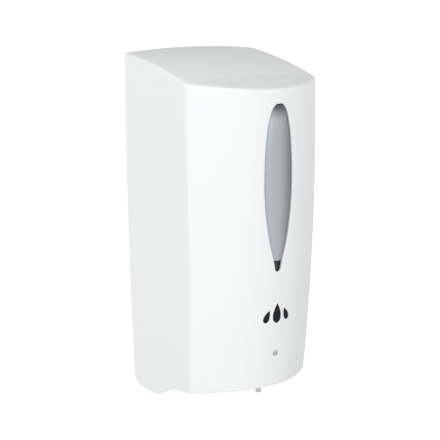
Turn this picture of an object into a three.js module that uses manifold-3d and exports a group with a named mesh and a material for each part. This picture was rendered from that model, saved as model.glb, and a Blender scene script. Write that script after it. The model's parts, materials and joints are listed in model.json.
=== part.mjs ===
// Wall mounted automatic soap dispenser, in millimetres, +Z up.
// Origin: centre of the wall plate's back face. The wall is the plane y = 0, and the room is at negative y.
// A bottom-hinged cover hides a refillable tank, a hose pump with its gear motor, a row of four C cells
// and the touch-free sensor.
import * as THREE from "three";
import { mergeVertices } from "three/addons/utils/BufferGeometryUtils.js";
import Module from "manifold-3d";

const wasm = await Module();
wasm.setup();

// ---------------------------------------------------------------- driving dimensions
const GAP = 0.3; // between touching pieces
// The front lower corner, and its height to the top's middle at the wall.
const BODY = { low: -125.3, height: 261.4 };
const HALF_WIDTH = { low: 59.4, top: 65.0, swell: 1.6 };
const CORNER_DEPTH = { low: 74.2, top: 77.2, swell: 4.0 };
const FRONT_BULGE = { low: 29.4, top: 30.6 };
const TOP = { rear: 258.5, front: 238.9, swell: 2.3, crownRear: 2.9, crownFront: 3.5, noseFall: 22 };
const COVER_WALL = 2.6;
const COVER_REAR_Y = -1;

const WINDOW = {
  wide: 14.2,
  middleZ: 40,
  topZ: 97.8,
  tipZ: -31,
  topPower: 0.36,
  tipPower: 0.85,
  tipRound: 3.2,
  paneLowZ: -21.7,
};
const WINDOW_FRAME = { width: 3.4, depth: 1.9, topZ: 92, tipZ: -20 };
const INDICATOR = { z: -95, radius: 2.2 };

const HINGE = { y: -33, z: -117.5, pinRadius: 2 };

const PLATE = { halfWidth: 55, low: -118, top: 127, thick: 3, rim: 5 };
const WALL_SCREWS = { x: 40, upperZ: 106, lowerZ: -45, radius: 2.5 };

const TANK = {
  halfWidth: 54,
  rear: -9,
  corner: 74,
  bulge: 29,
  low: -33,
  top: 92,
  seam: 77.3,
  wall: 2,
  soften: 5,
};
const NECK = { y: -50, radius: 21, bore: 18, top: 103 };
const CAP = { radius: 26, low: 94, top: 107, ribs: 12 };

const PUMP_Y = -86; // plane of the hose, spout and nozzle
const SPOUT = { radius: 5, bore: 3.2, low: -43.5 };
const ROTOR = { x: -10, z: -76, rollerOrbit: 9, rollerRadius: 3.4, rollers: 3, shaft: 2 };
const HOSE = { radius: 2.5, loop: 15.2, bend: 10 };
const RACE = { radius: 18, wall: 3, rear: -79.5, front: -91 };
const NOZZLE = { tip: -132, top: -107, radius: 2.3 };

const GEAR = { module: 0.96, small: 10, large: 30, addendum: 0.65, dedendum: 1.0, backlash: 0.3 };
const GEAR_STEP = (GEAR.module * (GEAR.small + GEAR.large)) / 2; // centre distance of each stage
const LAYER_A = [-76.2, -72.2]; // output gear and the idler's small gear
const LAYER_B = [-71.2, -67.4]; // idler's large gear and the motor pinion
const IDLER_X = ROTOR.x + GEAR_STEP;
const MOTOR_X = IDLER_X + GEAR_STEP;
const MOTOR = { radius: 11.5, front: -62.7, rear: -38.5 };
const GEARBOX = { x: [-28, 42], z: [-94, -58], y: [-76.7, -63], wall: 2 };

const PANEL = { x: 50, y: [-79.2, -77], z: [-116, -38] };
const CELL = { radius: 13.1, low: -108, length: 50, pitch: 26.6, y: -18.8, nub: 1.4 };
const BOX = { x: 55.3, innerX: 53.3, y: [-34.5, -3.3], innerY: [-32.3, -5.3], z: [-111, -50.5] };
const DOOR = { x: 52.8, y: [-33, -5.2], z: [-113.6, -111.3], axisY: -6.4, axisZ: -113.4, rod: 1 };
const BOARD = { x: 26, y: [-96, -80], z: [-101.6, -100] };
const FLOOR = { x: 52, z: [-121, -119], rear: -38, corner: 70, bulge: 28.5, span: 57 };
const SENSOR = { x: 14, y: -88, radius: 2.5, lens: 4 };
const SWITCH = { x: 33, z: -48.5 };
const LATCH = { pinY: -26, pinZ: 118, halfWidth: 7 };
const SHELF = { x: 52, y: [-84, -3.3], z: [-36.5, -33.3] };

// ---------------------------------------------------------------- shape helpers
const toSolid = (geometry) => {
  const bare = geometry.index ? geometry.clone() : geometry;
  bare.deleteAttribute("normal");
  bare.deleteAttribute("uv");
  const merged = mergeVertices(bare, 1e-4);
  const mesh = new wasm.Mesh({
    numProp: 3,
    vertProperties: new Float32Array(merged.attributes.position.array),
    triVerts: new Uint32Array(merged.index.array),
  });
  return new wasm.Manifold(mesh);
};

const toGeometry = (solid) => {
  const mesh = solid.getMesh();
  const geometry = new THREE.BufferGeometry();
  geometry.setAttribute("position", new THREE.BufferAttribute(mesh.vertProperties, 3));
  geometry.setIndex(new THREE.BufferAttribute(mesh.triVerts, 1));
  geometry.computeVertexNormals();
  return geometry;
};

const join = (...solids) => solids.reduce((all, one) => all.add(one));
const cut = (solid, ...tools) => tools.reduce((all, one) => all.subtract(one), solid);

const box = (x, y, z) => {
  const geometry = new THREE.BoxGeometry(x[1] - x[0], y[1] - y[0], z[1] - z[0]);
  geometry.translate((x[0] + x[1]) / 2, (y[0] + y[1]) / 2, (z[0] + z[1]) / 2);
  return toSolid(geometry);
};

// The same thing on both sides of the object, at x and at -x.
const bothSides = (make) => join(make(1), make(-1));
const sideBox = (side, x, y, z) => box(side > 0 ? x : [-x[1], -x[0]], y, z);

// A cylinder along one axis, from one place on it to another, centred at the other two coordinates.
const cylinder = (axis, radius, span, centre, sides = 20) => {
  const geometry = new THREE.CylinderGeometry(radius, radius, span[1] - span[0], sides);
  const middle = (span[0] + span[1]) / 2;
  if (axis === "x") geometry.rotateZ(Math.PI / 2).translate(middle, centre[0], centre[1]);
  if (axis === "y") geometry.translate(centre[0], middle, centre[1]);
  if (axis === "z") geometry.rotateX(Math.PI / 2).translate(centre[0], centre[1], middle);
  return toSolid(geometry);
};

// A turned piece: the profile is [radius, height] points, and height runs along the axis.
const turned = (axis, profile, centre, sides = 20) => {
  const points = profile.map(([radius, height]) => new THREE.Vector2(radius, height));
  const geometry = new THREE.LatheGeometry(points, sides);
  if (axis === "x") geometry.rotateZ(-Math.PI / 2);
  if (axis === "z") geometry.rotateX(Math.PI / 2);
  geometry.translate(...centre);
  return toSolid(geometry);
};

// A flat shape drawn in X and Z and extruded along Y, or drawn in X and Y and extruded along Z.
const alongY = (shape, span, curveSegments = 8) => {
  const options = { depth: span[1] - span[0], bevelEnabled: false, curveSegments };
  return toSolid(new THREE.ExtrudeGeometry(shape, options).rotateX(Math.PI / 2).translate(0, span[1], 0));
};
const alongZ = (shape, span, curveSegments = 8, soften = 0) => {
  const geometry = new THREE.ExtrudeGeometry(shape, {
    depth: span[1] - span[0] - 2 * soften,
    bevelEnabled: soften > 0,
    bevelThickness: soften,
    bevelSize: soften,
    bevelOffset: -soften,
    bevelSegments: 2,
    curveSegments,
  });
  return toSolid(geometry.translate(0, 0, span[0] + soften));
};

const roundHole = (x, y, radius) => new THREE.Path().absarc(x, y, radius, 0, 2 * Math.PI, true);

const roundedShape = (x, y, radius) => {
  const shape = new THREE.Shape();
  shape.moveTo(x[0] + radius, y[0]);
  shape.lineTo(x[1] - radius, y[0]).absarc(x[1] - radius, y[0] + radius, radius, -Math.PI / 2, 0);
  shape.lineTo(x[1], y[1] - radius).absarc(x[1] - radius, y[1] - radius, radius, 0, Math.PI / 2);
  shape.lineTo(x[0] + radius, y[1]).absarc(x[0] + radius, y[1] - radius, radius, Math.PI / 2, Math.PI);
  shape.lineTo(x[0], y[0] + radius).absarc(x[0] + radius, y[0] + radius, radius, Math.PI, 1.5 * Math.PI);
  return shape;
};

// A round section swept along a curve.
const swept = (curve, radius, steps, sides) => {
  const section = new THREE.Shape();
  for (let i = 0; i < sides; i++) {
    const angle = (2 * Math.PI * i) / sides;
    section[i ? "lineTo" : "moveTo"](radius * Math.cos(angle), radius * Math.sin(angle));
  }
  return toSolid(new THREE.ExtrudeGeometry(section, { steps, extrudePath: curve, curveSegments: 1 }));
};

const screw = (axis, point, headRadius, shankRadius, headHeight, shankLength, sides = 9) => {
  const profile = [
    [0, -shankLength],
    [shankRadius, -shankLength],
    [shankRadius, 0],
    [headRadius, 0],
    [headRadius * 0.72, headHeight],
    [0, headHeight],
  ];
  const points = profile.map(([radius, height]) => new THREE.Vector2(radius, height));
  const geometry = new THREE.LatheGeometry(points, sides);
  if (axis === "-y") geometry.rotateX(Math.PI);
  geometry.translate(...point);
  return toSolid(geometry);
};

// ---------------------------------------------------------------- the nodes
const PAINT = {
  cover_white: ["#f4f5f5", 0.32, 0],
  inner_white: ["#dfe1e2", 0.55, 0],
  window_smoke: ["#8b949b", 0.12, 0],
  frame_black: ["#26282b", 0.5, 0],
  indicator_grey: ["#a9adb8", 0.25, 0],
  tank_milky: ["#c9d3da", 0.35, 0],
  cap_blue: ["#3d6f9e", 0.45, 0],
  nozzle_silicone: ["#c3c7cc", 0.4, 0],
  pump_grey: ["#6d7378", 0.5, 0],
  clear_plastic: ["#dfe6ea", 0.1, 0],
  gear_white: ["#eceae2", 0.5, 0],
  rubber_black: ["#202122", 0.7, 0],
  steel: ["#b4b7ba", 0.3, 1],
  brass: ["#c9a45a", 0.3, 1],
  board_green: ["#1f6a44", 0.5, 0],
  lead_red: ["#b02a24", 0.5, 0],
  lead_black: ["#1c1c1e", 0.5, 0],
  cell_jacket: ["#3a4046", 0.35, 0],
};

const dispenser = new THREE.Group();
dispenser.name = "soap_dispenser";

const place = (name, paint, solid) => {
  const [color, roughness, metalness] = PAINT[paint];
  const material = new THREE.MeshStandardMaterial({ color, roughness, metalness });
  material.name = paint;
  const mesh = new THREE.Mesh(toGeometry(solid), material);
  mesh.name = name;
  dispenser.add(mesh);
};

// ---------------------------------------------------------------- the outer body's surface
const swelling = (size, share) => {
  return size.low * (1 - share) + size.top * share + 4 * size.swell * share * (1 - share);
};

// Height of the top above the front lower corner. along is 0 at the wall and 1 at the side's front corner.
const topHeight = (across, along) => {
  const side = Math.min(along, 1);
  const edge = TOP.rear * (1 - side) + TOP.front * side + 4 * TOP.swell * side * (1 - side);
  const crown = TOP.crownRear * (1 - side) + TOP.crownFront * side;
  return edge + crown * (1 - across * across) - TOP.noseFall * Math.max(along - 1, 0);
};

const frontDepth = (across, share) => {
  const bulge = FRONT_BULGE.low * (1 - share) + FRONT_BULGE.top * share;
  return swelling(CORNER_DEPTH, share) + bulge * (1 - across * across);
};

// The body as a bent box. inset moves its sides, top and front inwards.
// lowest and rear say where it is cut off.
const bentBody = (inset, rear, lowest, segments) => {
  const geometry = new THREE.BoxGeometry(2, 1, 1, ...segments);
  const position = geometry.attributes.position;
  for (let i = 0; i < position.count; i++) {
    const across = position.getX(i);
    const forward = 0.5 - position.getY(i);
    const upward = position.getZ(i) + 0.5;
    const along = (forward * frontDepth(across, 0.92)) / swelling(CORNER_DEPTH, 0.92);
    const height = lowest + upward * (topHeight(across, along) - inset - lowest);
    const share = height / BODY.height;
    const front = -frontDepth(across, share) + inset;
    const x = across * (swelling(HALF_WIDTH, share) - inset);
    position.setXYZ(i, x, rear + forward * (front - rear), BODY.low + height);
  }
  return toSolid(geometry);
};

// The side outline's lower edge: a rounded heel at the wall, a low belly over the hinge, then a step up and
// a straight run that rises a little to the front. Drawn in Y and Z, extruded along X.
const sideOutline = () => {
  const z = (drop) => BODY.low - drop;
  const shape = new THREE.Shape();
  shape.moveTo(5, 150);
  shape.lineTo(-125, 150);
  shape.lineTo(-125, z(-4.9));
  shape.lineTo(-55, z(0.6));
  shape.quadraticCurveTo(-52, z(0.8), -49, z(2.3));
  shape.lineTo(-36, z(9));
  shape.quadraticCurveTo(-32, z(11), -27, z(10.8));
  shape.lineTo(-10, z(8.6));
  shape.quadraticCurveTo(-3, z(7.5), -1, z(0));
  shape.lineTo(5, z(0));
  const options = { depth: 160, bevelEnabled: false, curveSegments: 5 };
  const geometry = new THREE.ExtrudeGeometry(shape, options);
  // The shape's x becomes y, its y becomes z, and the extrusion runs along x.
  geometry.rotateX(Math.PI / 2).rotateZ(Math.PI / 2).translate(-80, 0, 0);
  return toSolid(geometry);
};

// ---------------------------------------------------------------- cover and what is on it
const leafHalfWidth = (z, topZ, tipZ, wide) => {
  const up = z > WINDOW.middleZ;
  const share = (z - WINDOW.middleZ) / ((up ? topZ : tipZ) - WINDOW.middleZ);
  const half = wide * Math.pow(Math.max(1 - share * share, 0), up ? WINDOW.topPower : WINDOW.tipPower);
  const fromTipCentre = Math.min(z - tipZ - WINDOW.tipRound, 0);
  const round = Math.sqrt(Math.max(WINDOW.tipRound ** 2 - fromTipCentre ** 2, 0));
  return Math.pow(half ** 4 + round ** 4, 0.25);
};

// A slim leaf, blunt above and pointed below, drawn in X and Z.
const leaf = (grow, topZ = WINDOW.topZ, tipZ = WINDOW.tipZ, steps = 14) => {
  const side = [];
  for (let i = 1; i < steps; i++) {
    const z = (topZ + tipZ) / 2 + ((topZ - tipZ) / 2) * Math.cos((Math.PI * i) / steps);
    const half = leafHalfWidth(z, topZ, tipZ, WINDOW.wide) + grow;
    if (half > 1) side.push(new THREE.Vector2(half, z));
  }
  const shape = new THREE.Shape();
  shape.moveTo(0, topZ + grow);
  side.forEach((p) => shape.lineTo(p.x, p.y));
  shape.lineTo(0, tipZ - grow);
  side.reverse().forEach((p) => shape.lineTo(-p.x, p.y));
  return shape;
};

const makeCover = () => {
  const shell = cut(bentBody(0, COVER_REAR_Y, -14, [10, 5, 8]), bentBody(COVER_WALL, 6, -20, [10, 5, 8]));
  const wallAtHinge = swelling(HALF_WIDTH, (HINGE.z - BODY.low) / BODY.height) - COVER_WALL;
  const hingeBoss = (side) => {
    const span = side > 0 ? [wallAtHinge - 1.2, wallAtHinge + 1] : [-wallAtHinge - 1, -wallAtHinge + 1.2];
    return cylinder("x", 5, span, [HINGE.y, HINGE.z], 16);
  };
  const hingeBore = (side) => {
    const span = side > 0 ? [50, wallAtHinge + 1.7] : [-wallAtHinge - 1.7, -50];
    return cylinder("x", HINGE.pinRadius + GAP, span, [HINGE.y, HINGE.z], 16);
  };
  const catchRib = box([-11, 11], [-12.5, -10.5], [128.8, 132.5]);
  const opening = alongY(leaf(0), [-125, -90]);
  const indicatorHole = cylinder("y", INDICATOR.radius, [-120, -90], [0, INDICATOR.z], 16);
  const whole = join(shell, bothSides(hingeBoss), catchRib);
  const body = cut(whole, opening, indicatorHole, bothSides(hingeBore));
  place("cover", "cover_white", body.intersect(sideOutline()));
};

const makeWindow = () => {
  // The pane is the piece of the body between two insets that the leaf outline leaves.
  // It stops short of the leaf's tip, where the frame closes the opening.
  const layer = (outer, inner) => {
    return cut(bentBody(outer, COVER_REAR_Y, -14, [10, 1, 8]), bentBody(inner, 6, -20, [10, 1, 8]));
  };
  const pane = layer(0.8, 2.6).intersect(alongY(leaf(-GAP), [-125, -90]));
  place("window_pane", "window_smoke", cut(pane, box([-20, 20], [-125, -90], [-60, WINDOW.paneLowZ])));
  const inside = COVER_WALL + GAP;
  const ring = cut(
    alongY(leaf(WINDOW_FRAME.width), [-125, -90]),
    alongY(leaf(-1.4, WINDOW_FRAME.topZ, WINDOW_FRAME.tipZ), [-130, -80]),
  );
  place("window_frame", "frame_black", layer(inside, inside + WINDOW_FRAME.depth).intersect(ring));
};

const makeIndicatorLens = () => {
  const front = -frontDepth(0, (INDICATOR.z - BODY.low) / BODY.height);
  const radius = INDICATOR.radius - GAP;
  const profile = [
    [0, front + 0.2],
    [radius * 0.7, front + 0.35],
    [radius, front + 0.8],
    [radius, front + COVER_WALL + 2 * GAP],
    [radius + 1.4, front + COVER_WALL + 2 * GAP],
    [radius + 1.4, front + COVER_WALL + 1.6],
    [0, front + COVER_WALL + 1.6],
  ];
  place("indicator_lens", "indicator_grey", turned("y", profile, [0, 0, INDICATOR.z], 16));
};

// ---------------------------------------------------------------- wall plate and latch
const makeWallPlate = () => {
  const shape = roundedShape([-PLATE.halfWidth, PLATE.halfWidth], [PLATE.low, PLATE.top], 6);
  for (const x of [-WALL_SCREWS.x, WALL_SCREWS.x]) {
    for (const z of [WALL_SCREWS.upperZ, WALL_SCREWS.lowerZ]) {
      shape.holes.push(roundHole(x, z, WALL_SCREWS.radius));
    }
  }
  const plate = alongY(shape, [-PLATE.thick, 0], 4);
  const rimY = [-PLATE.thick - PLATE.rim, -PLATE.thick + 1];
  const rimX = [PLATE.halfWidth - 2, PLATE.halfWidth];
  const upperRim = (side) => sideBox(side, rimX, rimY, [-30, PLATE.top - 8]);
  const topRim = box([-46, 46], rimY, [PLATE.top - 2, PLATE.top]);
  const keySlot = box([-8, 8], [-12, -1.4], [PLATE.top - 4.4, PLATE.top + 4]);
  const screwHole = (side) => cylinder("y", 1.8, [-10, -0.8], [side * 20, -44], 10);
  const rimmed = join(plate, bothSides(upperRim), topRim);
  place("wall_plate", "inner_white", cut(rimmed, keySlot, bothSides(screwHole)));
};

const makeLatch = () => {
  const { pinY, pinZ, halfWidth } = LATCH;
  const armX = [halfWidth + GAP, halfWidth + 2.3];
  const arm = (side) => sideBox(side, armX, [pinY - 4, -3.3], [109.5, pinZ + 3.5]);
  const floor = box([-halfWidth - 2.3, halfWidth + 2.3], [pinY - 4, -3.3], [109.5, 111.3]);
  const pinHole = cylinder("x", 1.5 + GAP, [-20, 20], [pinY, pinZ], 12);
  place("latch_bracket", "steel", cut(join(bothSides(arm), floor), pinHole));

  const side = new THREE.Shape();
  side.moveTo(pinY - 3, pinZ - 3);
  side.lineTo(-6, 119.6);
  side.lineTo(-4.2, 121.8);
  side.lineTo(-4.2, 124);
  side.lineTo(-11, 123.6);
  side.lineTo(-13, 128.5);
  side.lineTo(-15.5, 128.5);
  side.lineTo(pinY + 4, 122);
  side.lineTo(pinY - 3, pinZ + 3);
  const options = { depth: 2 * halfWidth, bevelEnabled: false };
  const lever = new THREE.ExtrudeGeometry(side, options);
  lever.rotateX(Math.PI / 2).rotateZ(Math.PI / 2).translate(-halfWidth, 0, 0);
  const leverBore = cylinder("x", 1.5 + GAP, [-20, 20], [pinY, pinZ], 12);
  place("latch_lever", "pump_grey", cut(toSolid(lever), leverBore));
  place("latch_pin", "steel", cylinder("x", 1.5, [-halfWidth - 3, halfWidth + 3], [pinY, pinZ], 12));
};

// ---------------------------------------------------------------- tank
const tankOutline = (inset) => {
  const { halfWidth, rear, corner, bulge } = TANK;
  const wide = halfWidth - inset;
  const shape = new THREE.Shape();
  const turn = 9;
  shape.moveTo(-wide + turn, rear - inset);
  shape.quadraticCurveTo(-wide, rear - inset, -wide, rear - inset - turn);
  shape.lineTo(-wide, -corner + turn + inset);
  const steps = 10;
  const reach = 0.94;
  for (let i = 0; i <= steps; i++) {
    const across = -reach + (2 * reach * i) / steps;
    shape.lineTo(across * wide, -(corner + bulge * (1 - across * across)) + inset);
  }
  shape.lineTo(wide, -corner + turn + inset);
  shape.lineTo(wide, rear - inset - turn);
  shape.quadraticCurveTo(wide, rear - inset, wide - turn, rear - inset);
  return shape;
};

const makeTank = () => {
  const { low, top, wall, soften } = TANK;
  const outer = alongZ(tankOutline(0), [low, top], 3, soften);
  const inner = alongZ(tankOutline(wall), [low + wall, top - wall], 3, soften - 1);
  const neck = cylinder("z", NECK.radius, [top - 1, NECK.top], [0, NECK.y], 28);
  const mouth = cylinder("z", NECK.bore, [top - 10, NECK.top + 5], [0, NECK.y], 28);
  const spout = cylinder("z", SPOUT.radius, [SPOUT.low, low + 1], [0, PUMP_Y], 16);
  const spoutBore = cylinder("z", SPOUT.bore, [SPOUT.low - 5, low + 6], [0, PUMP_Y], 16);
  const whole = cut(join(outer, neck, spout), inner, mouth, spoutBore);
  // The tub ends at the seam, and its lid carries the neck.
  const wide = TANK.halfWidth + 20;
  const above = box([-wide, wide], [-150, 20], [TANK.seam, top + 40]);
  const below = box([-wide, wide], [-150, 20], [low - 40, TANK.seam + GAP]);
  place("tank", "tank_milky", cut(whole, above));
  place("tank_lid", "tank_milky", cut(whole, below));

  const { radius, top: capTop, low: capLow, ribs } = CAP;
  const profile = [
    [NECK.radius + 0.8, capLow],
    [radius, capLow],
    [radius, capTop - 1.5],
    [radius - 1.5, capTop],
    [0, capTop],
    [0, capTop - 3],
    [NECK.radius + 0.8, capTop - 3],
    [NECK.radius + 0.8, capLow],
  ];
  const cap = turned("z", profile, [0, NECK.y, 0], 28);
  const grips = [];
  for (let i = 0; i < ribs; i++) {
    const angle = (2 * Math.PI * i) / ribs;
    const rib = new THREE.BoxGeometry(1.6, 2.4, capTop - capLow - 2.4);
    rib.translate(radius + 0.2, 0, (capTop + capLow) / 2 - 0.9).rotateZ(angle).translate(0, NECK.y, 0);
    grips.push(toSolid(rib));
  }
  const handle = box([-17, 17], [NECK.y - 1.8, NECK.y + 1.8], [capTop - 0.5, capTop + 4]);
  place("fill_cap", "cap_blue", join(cap, handle, ...grips));
};

// ---------------------------------------------------------------- chassis, battery box and door
const makeChassis = () => {
  const shelfShape = new THREE.Shape();
  const { x, y, z } = SHELF;
  shelfShape.moveTo(-x, y[1]);
  shelfShape.lineTo(-x, -68);
  shelfShape.quadraticCurveTo(0, -126, x, -68);
  shelfShape.lineTo(x, y[1]);
  const hole = cylinder("z", 8.2, [-40, -30], [0, PUMP_Y], 20);
  const shelf = cut(alongZ(shelfShape, z, 8), hole, box([-9, 9], [-100, PUMP_Y], [-40, -30]));
  const flange = box([-BOX.x, BOX.x], [BOX.innerY[1], BOX.y[1]], [BOX.z[0], SHELF.z[1]]);
  const shell = cut(
    box([-BOX.x, BOX.x], BOX.y, BOX.z),
    box([-BOX.innerX, BOX.innerX], BOX.innerY, [BOX.z[0] - 5, BOX.z[1] - 2]),
  );
  const cheekY = [PANEL.y[1] + GAP, BOX.y[0] + 1];
  const cheek = (side) => sideBox(side, [PANEL.x - 3, PANEL.x], cheekY, [-110, SHELF.z[0] + 1]);
  const ear = (side) => {
    const plate = sideBox(side, [BOX.innerX, BOX.x], [HINGE.y - 5, HINGE.y + 6], [HINGE.z, BOX.z[0] + 2]);
    const span = side > 0 ? [BOX.innerX, BOX.x] : [-BOX.x, -BOX.innerX];
    return join(plate, cylinder("x", 5, span, [HINGE.y, HINGE.z], 16));
  };
  const boss = (side) => {
    const x = side * (PANEL.x - 5.5);
    return join(
      cylinder("y", 3.6, [PANEL.y[1] + GAP, -60], [x, -45], 12),
      cylinder("y", 3.6, [PANEL.y[1] + GAP, -60], [x, -104], 12),
    );
  };
  const bossBore = (side) => {
    const x = side * (PANEL.x - 5.5);
    const bore = (holeZ) => cylinder("y", 1.6, [-90, -64], [x, holeZ], 10);
    return join(bore(-45), bore(-104));
  };
  const wallScrewHole = (side) => {
    return cylinder("y", 7, [-10, 0], [side * WALL_SCREWS.x, WALL_SCREWS.lowerZ], 16);
  };
  const tie = (side) => cylinder("y", 1.8, [-10, 0], [side * 20, -44], 12);
  const lugZ = [DOOR.axisZ - 2.4, BOX.z[0] + 1];
  const lug = (side) => sideBox(side, [DOOR.x - 3, BOX.innerX + 0.5], [-9, -3.3], lugZ);
  const earBore = cylinder("x", HINGE.pinRadius + 0.05, [-70, 70], [HINGE.y, HINGE.z], 16);
  const rodBore = cylinder("x", DOOR.rod + 0.4, [-70, 70], [DOOR.axisY, DOOR.axisZ], 10);
  const leadNotch = (side) => sideBox(side, [38, 42], [-24, -16], [-60, -40]);
  const blocks = [bothSides(cheek), bothSides(ear), bothSides(boss), bothSides(lug)];
  const frame = join(shelf, flange, shell, ...blocks);
  const drilled = [bothSides(bossBore), bothSides(wallScrewHole), bothSides(tie)];
  place("chassis", "inner_white", cut(frame, ...drilled, earBore, rodBore, bothSides(leadNotch)));
  for (const [name, side] of [["left", -1], ["right", 1]]) {
    const span = side > 0 ? [BOX.innerX + GAP, 58.6] : [-58.6, -BOX.innerX - GAP];
    const pin = cylinder("x", HINGE.pinRadius - 0.05, span, [HINGE.y, HINGE.z], 16);
    place(`hinge_pin_${name}`, "steel", pin);
    const seat = [side * 20, BOX.innerY[1] - GAP, -44];
    place(`chassis_screw_${name}`, "steel", screw("-y", seat, 3.2, 1.5, 2.2, 4.2));
  }
};

const makeBatteries = () => {
  const { radius, low, length, pitch, y, nub } = CELL;
  for (let i = 0; i < 4; i++) {
    const x = (i - 1.5) * pitch;
    const upright = i % 2 === 0;
    const heights = [
      [0, 0],
      [radius - 0.8, 0],
      [radius, 0.8],
      [radius, length - 1],
      [radius - 0.8, length - 0.2],
      [3.2, length - 0.2],
      [3.2, length + nub],
      [0, length + nub],
    ];
    const profile = upright
      ? heights.map(([r, h]) => [r, low + h])
      : heights.map(([r, h]) => [r, low + length + nub - h]).reverse();
    place(`battery_cell_${i + 1}`, "cell_jacket", turned("z", profile, [x, y, 0], 16));
  }
  // Contacts: two end tabs and a middle link above, and two links on the door.
  const over = low + length + nub + GAP;
  const strip = (x) => box(x, [y - 4.5, y + 4.5], [over, over + 0.8]);
  const end = 1.5 * pitch;
  const tail = (x) => box([x - 1.2, x + 1.2], [y - 1.2, y + 1.2], [over + 0.5, over + 6.2]);
  place("contact_positive", "brass", join(strip([-end - 5, -end + 5]), tail(-end)));
  place("contact_middle_link", "brass", strip([-pitch / 2 - 6, pitch / 2 + 6]));
  place("contact_negative", "brass", join(strip([end - 5, end + 5]), tail(end)));
};

const makeBatteryDoor = () => {
  const { x, y, z, axisY, axisZ, rod } = DOOR;
  const innerX = x - 3 - GAP;
  const leafPlate = box([-innerX, innerX], [y[0], -8.6], z);
  const wideFront = box([-x, x], [y[0], -10], z);
  const barrel = (side) => cylinder("x", 2.1, side > 0 ? [20, innerX] : [-innerX, -20], [axisY, axisZ], 12);
  const web = (side) => sideBox(side, [20, innerX], [-9, axisY], [axisZ - 0.9, axisZ + 1.6]);
  const grip = box([-14, 14], [y[0] - 2.6, y[0] + 0.5], z);
  const bore = cylinder("x", rod + 0.4, [-70, 70], [axisY, axisZ], 10);
  const door = join(leafPlate, wideFront, bothSides(barrel), bothSides(web), grip);
  place("battery_door", "inner_white", cut(door, bore));
  place("door_hinge_rod", "steel", cylinder("x", rod, [-x + 0.2, x - 0.2], [axisY, axisZ], 10));
  const { pitch, low } = CELL;
  const top = z[1] + GAP;
  for (const [name, side] of [["left", -1], ["right", 1]]) {
    const stripX = [pitch / 2 - 6, 1.5 * pitch + 6];
    const strip = sideBox(side, stripX, [CELL.y - 4.5, CELL.y + 4.5], [top, top + 0.8]);
    const springX = side * (side < 0 ? pitch * 1.5 : pitch / 2);
    const tip = low - top - GAP;
    const cone = turned("z", [[0, 0], [5.5, 0], [3.2, tip], [0, tip]], [springX, CELL.y, top], 12);
    place(`door_contact_${name}`, "brass", join(strip, cone));
  }
};

// ---------------------------------------------------------------- gear train
const involute = (angle) => Math.tan(angle) - angle;

// Outline of a spur gear with involute flanks, one tooth centred on the angle phase.
const gearShape = (teeth, phase, bore) => {
  const { module, addendum, dedendum, backlash } = GEAR;
  const pitch = (module * teeth) / 2;
  const pressure = THREE.MathUtils.degToRad(20);
  const base = pitch * Math.cos(pressure);
  const tip = pitch + addendum * module;
  const root = pitch - dedendum * module;
  const thick = (Math.PI * module) / 2 - backlash;
  const halfAngle = (radius) => {
    const flank = Math.acos(Math.min(base / Math.max(radius, base), 1));
    return thick / (2 * pitch) + involute(pressure) - involute(flank);
  };
  const radii = [root, pitch, tip];
  const shape = new THREE.Shape();
  let first = true;
  const to = (radius, angle) => {
    shape[first ? "moveTo" : "lineTo"](radius * Math.cos(angle), radius * Math.sin(angle));
    first = false;
  };
  for (let i = 0; i < teeth; i++) {
    const middle = phase + (2 * Math.PI * i) / teeth;
    radii.forEach((radius) => to(radius, middle - halfAngle(radius)));
    [...radii].reverse().forEach((radius) => to(radius, middle + halfAngle(radius)));
  }
  if (bore) shape.holes.push(roundHole(0, 0, bore));
  return shape;
};

const gear = (teeth, phase, bore, x, layer) => {
  const solid = alongY(gearShape(teeth, phase, bore), layer, 3);
  return solid.translate([x, 0, ROTOR.z]);
};

const makeGears = () => {
  const { small, large } = GEAR;
  const outputGear = gear(large, 0, 0, ROTOR.x, LAYER_A);
  const shaft = cylinder("y", ROTOR.shaft, [-82, -66.2], [ROTOR.x, ROTOR.z], 12);
  place("output_gear", "gear_white", join(outputGear, shaft));

  const idlerPhase = Math.PI + Math.PI / small;
  const idlerSmall = gear(small, idlerPhase, 1.4, IDLER_X, [LAYER_A[0], LAYER_B[0] + 0.5]);
  const idlerLarge = gear(large, 0, 1.4, IDLER_X, LAYER_B);
  place("idler_gear", "gear_white", join(idlerSmall, idlerLarge));
  place("idler_pin", "steel", cylinder("y", 1.1, [-76.4, -65.3], [IDLER_X, ROTOR.z], 10));

  const pinion = gear(small, Math.PI + Math.PI / small, 0, MOTOR_X, [LAYER_B[0], LAYER_B[1]]);
  const motorShaft = cylinder("y", 1, [-70, MOTOR.front - GAP], [MOTOR_X, ROTOR.z], 10);
  place("motor_pinion", "brass", join(pinion, motorShaft));

  const { x, y, z, wall } = GEARBOX;
  const caseShape = roundedShape(x, z, 5);
  const cavity = roundedShape([x[0] + wall, x[1] - wall], [z[0] + wall, z[1] - wall], 3.5);
  const shell = cut(
    alongY(caseShape, y, 4),
    alongY(cavity, [y[0] - 1, y[1] - wall], 4),
    cylinder("y", 1.1 + 1.2, [-70, -60], [MOTOR_X, ROTOR.z], 12),
  );
  place("gearbox_case", "pump_grey", shell);

  const body = cylinder("y", MOTOR.radius, [MOTOR.front, MOTOR.rear], [MOTOR_X, ROTOR.z], 24);
  const flat = (side) => {
    const z = side > 0 ? [ROTOR.z + 9, ROTOR.z + 20] : [ROTOR.z - 20, ROTOR.z - 9];
    return box([MOTOR_X - 20, MOTOR_X + 20], [-70, -30], z);
  };
  place("motor", "steel", cut(body, flat(1), flat(-1)));
};

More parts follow.
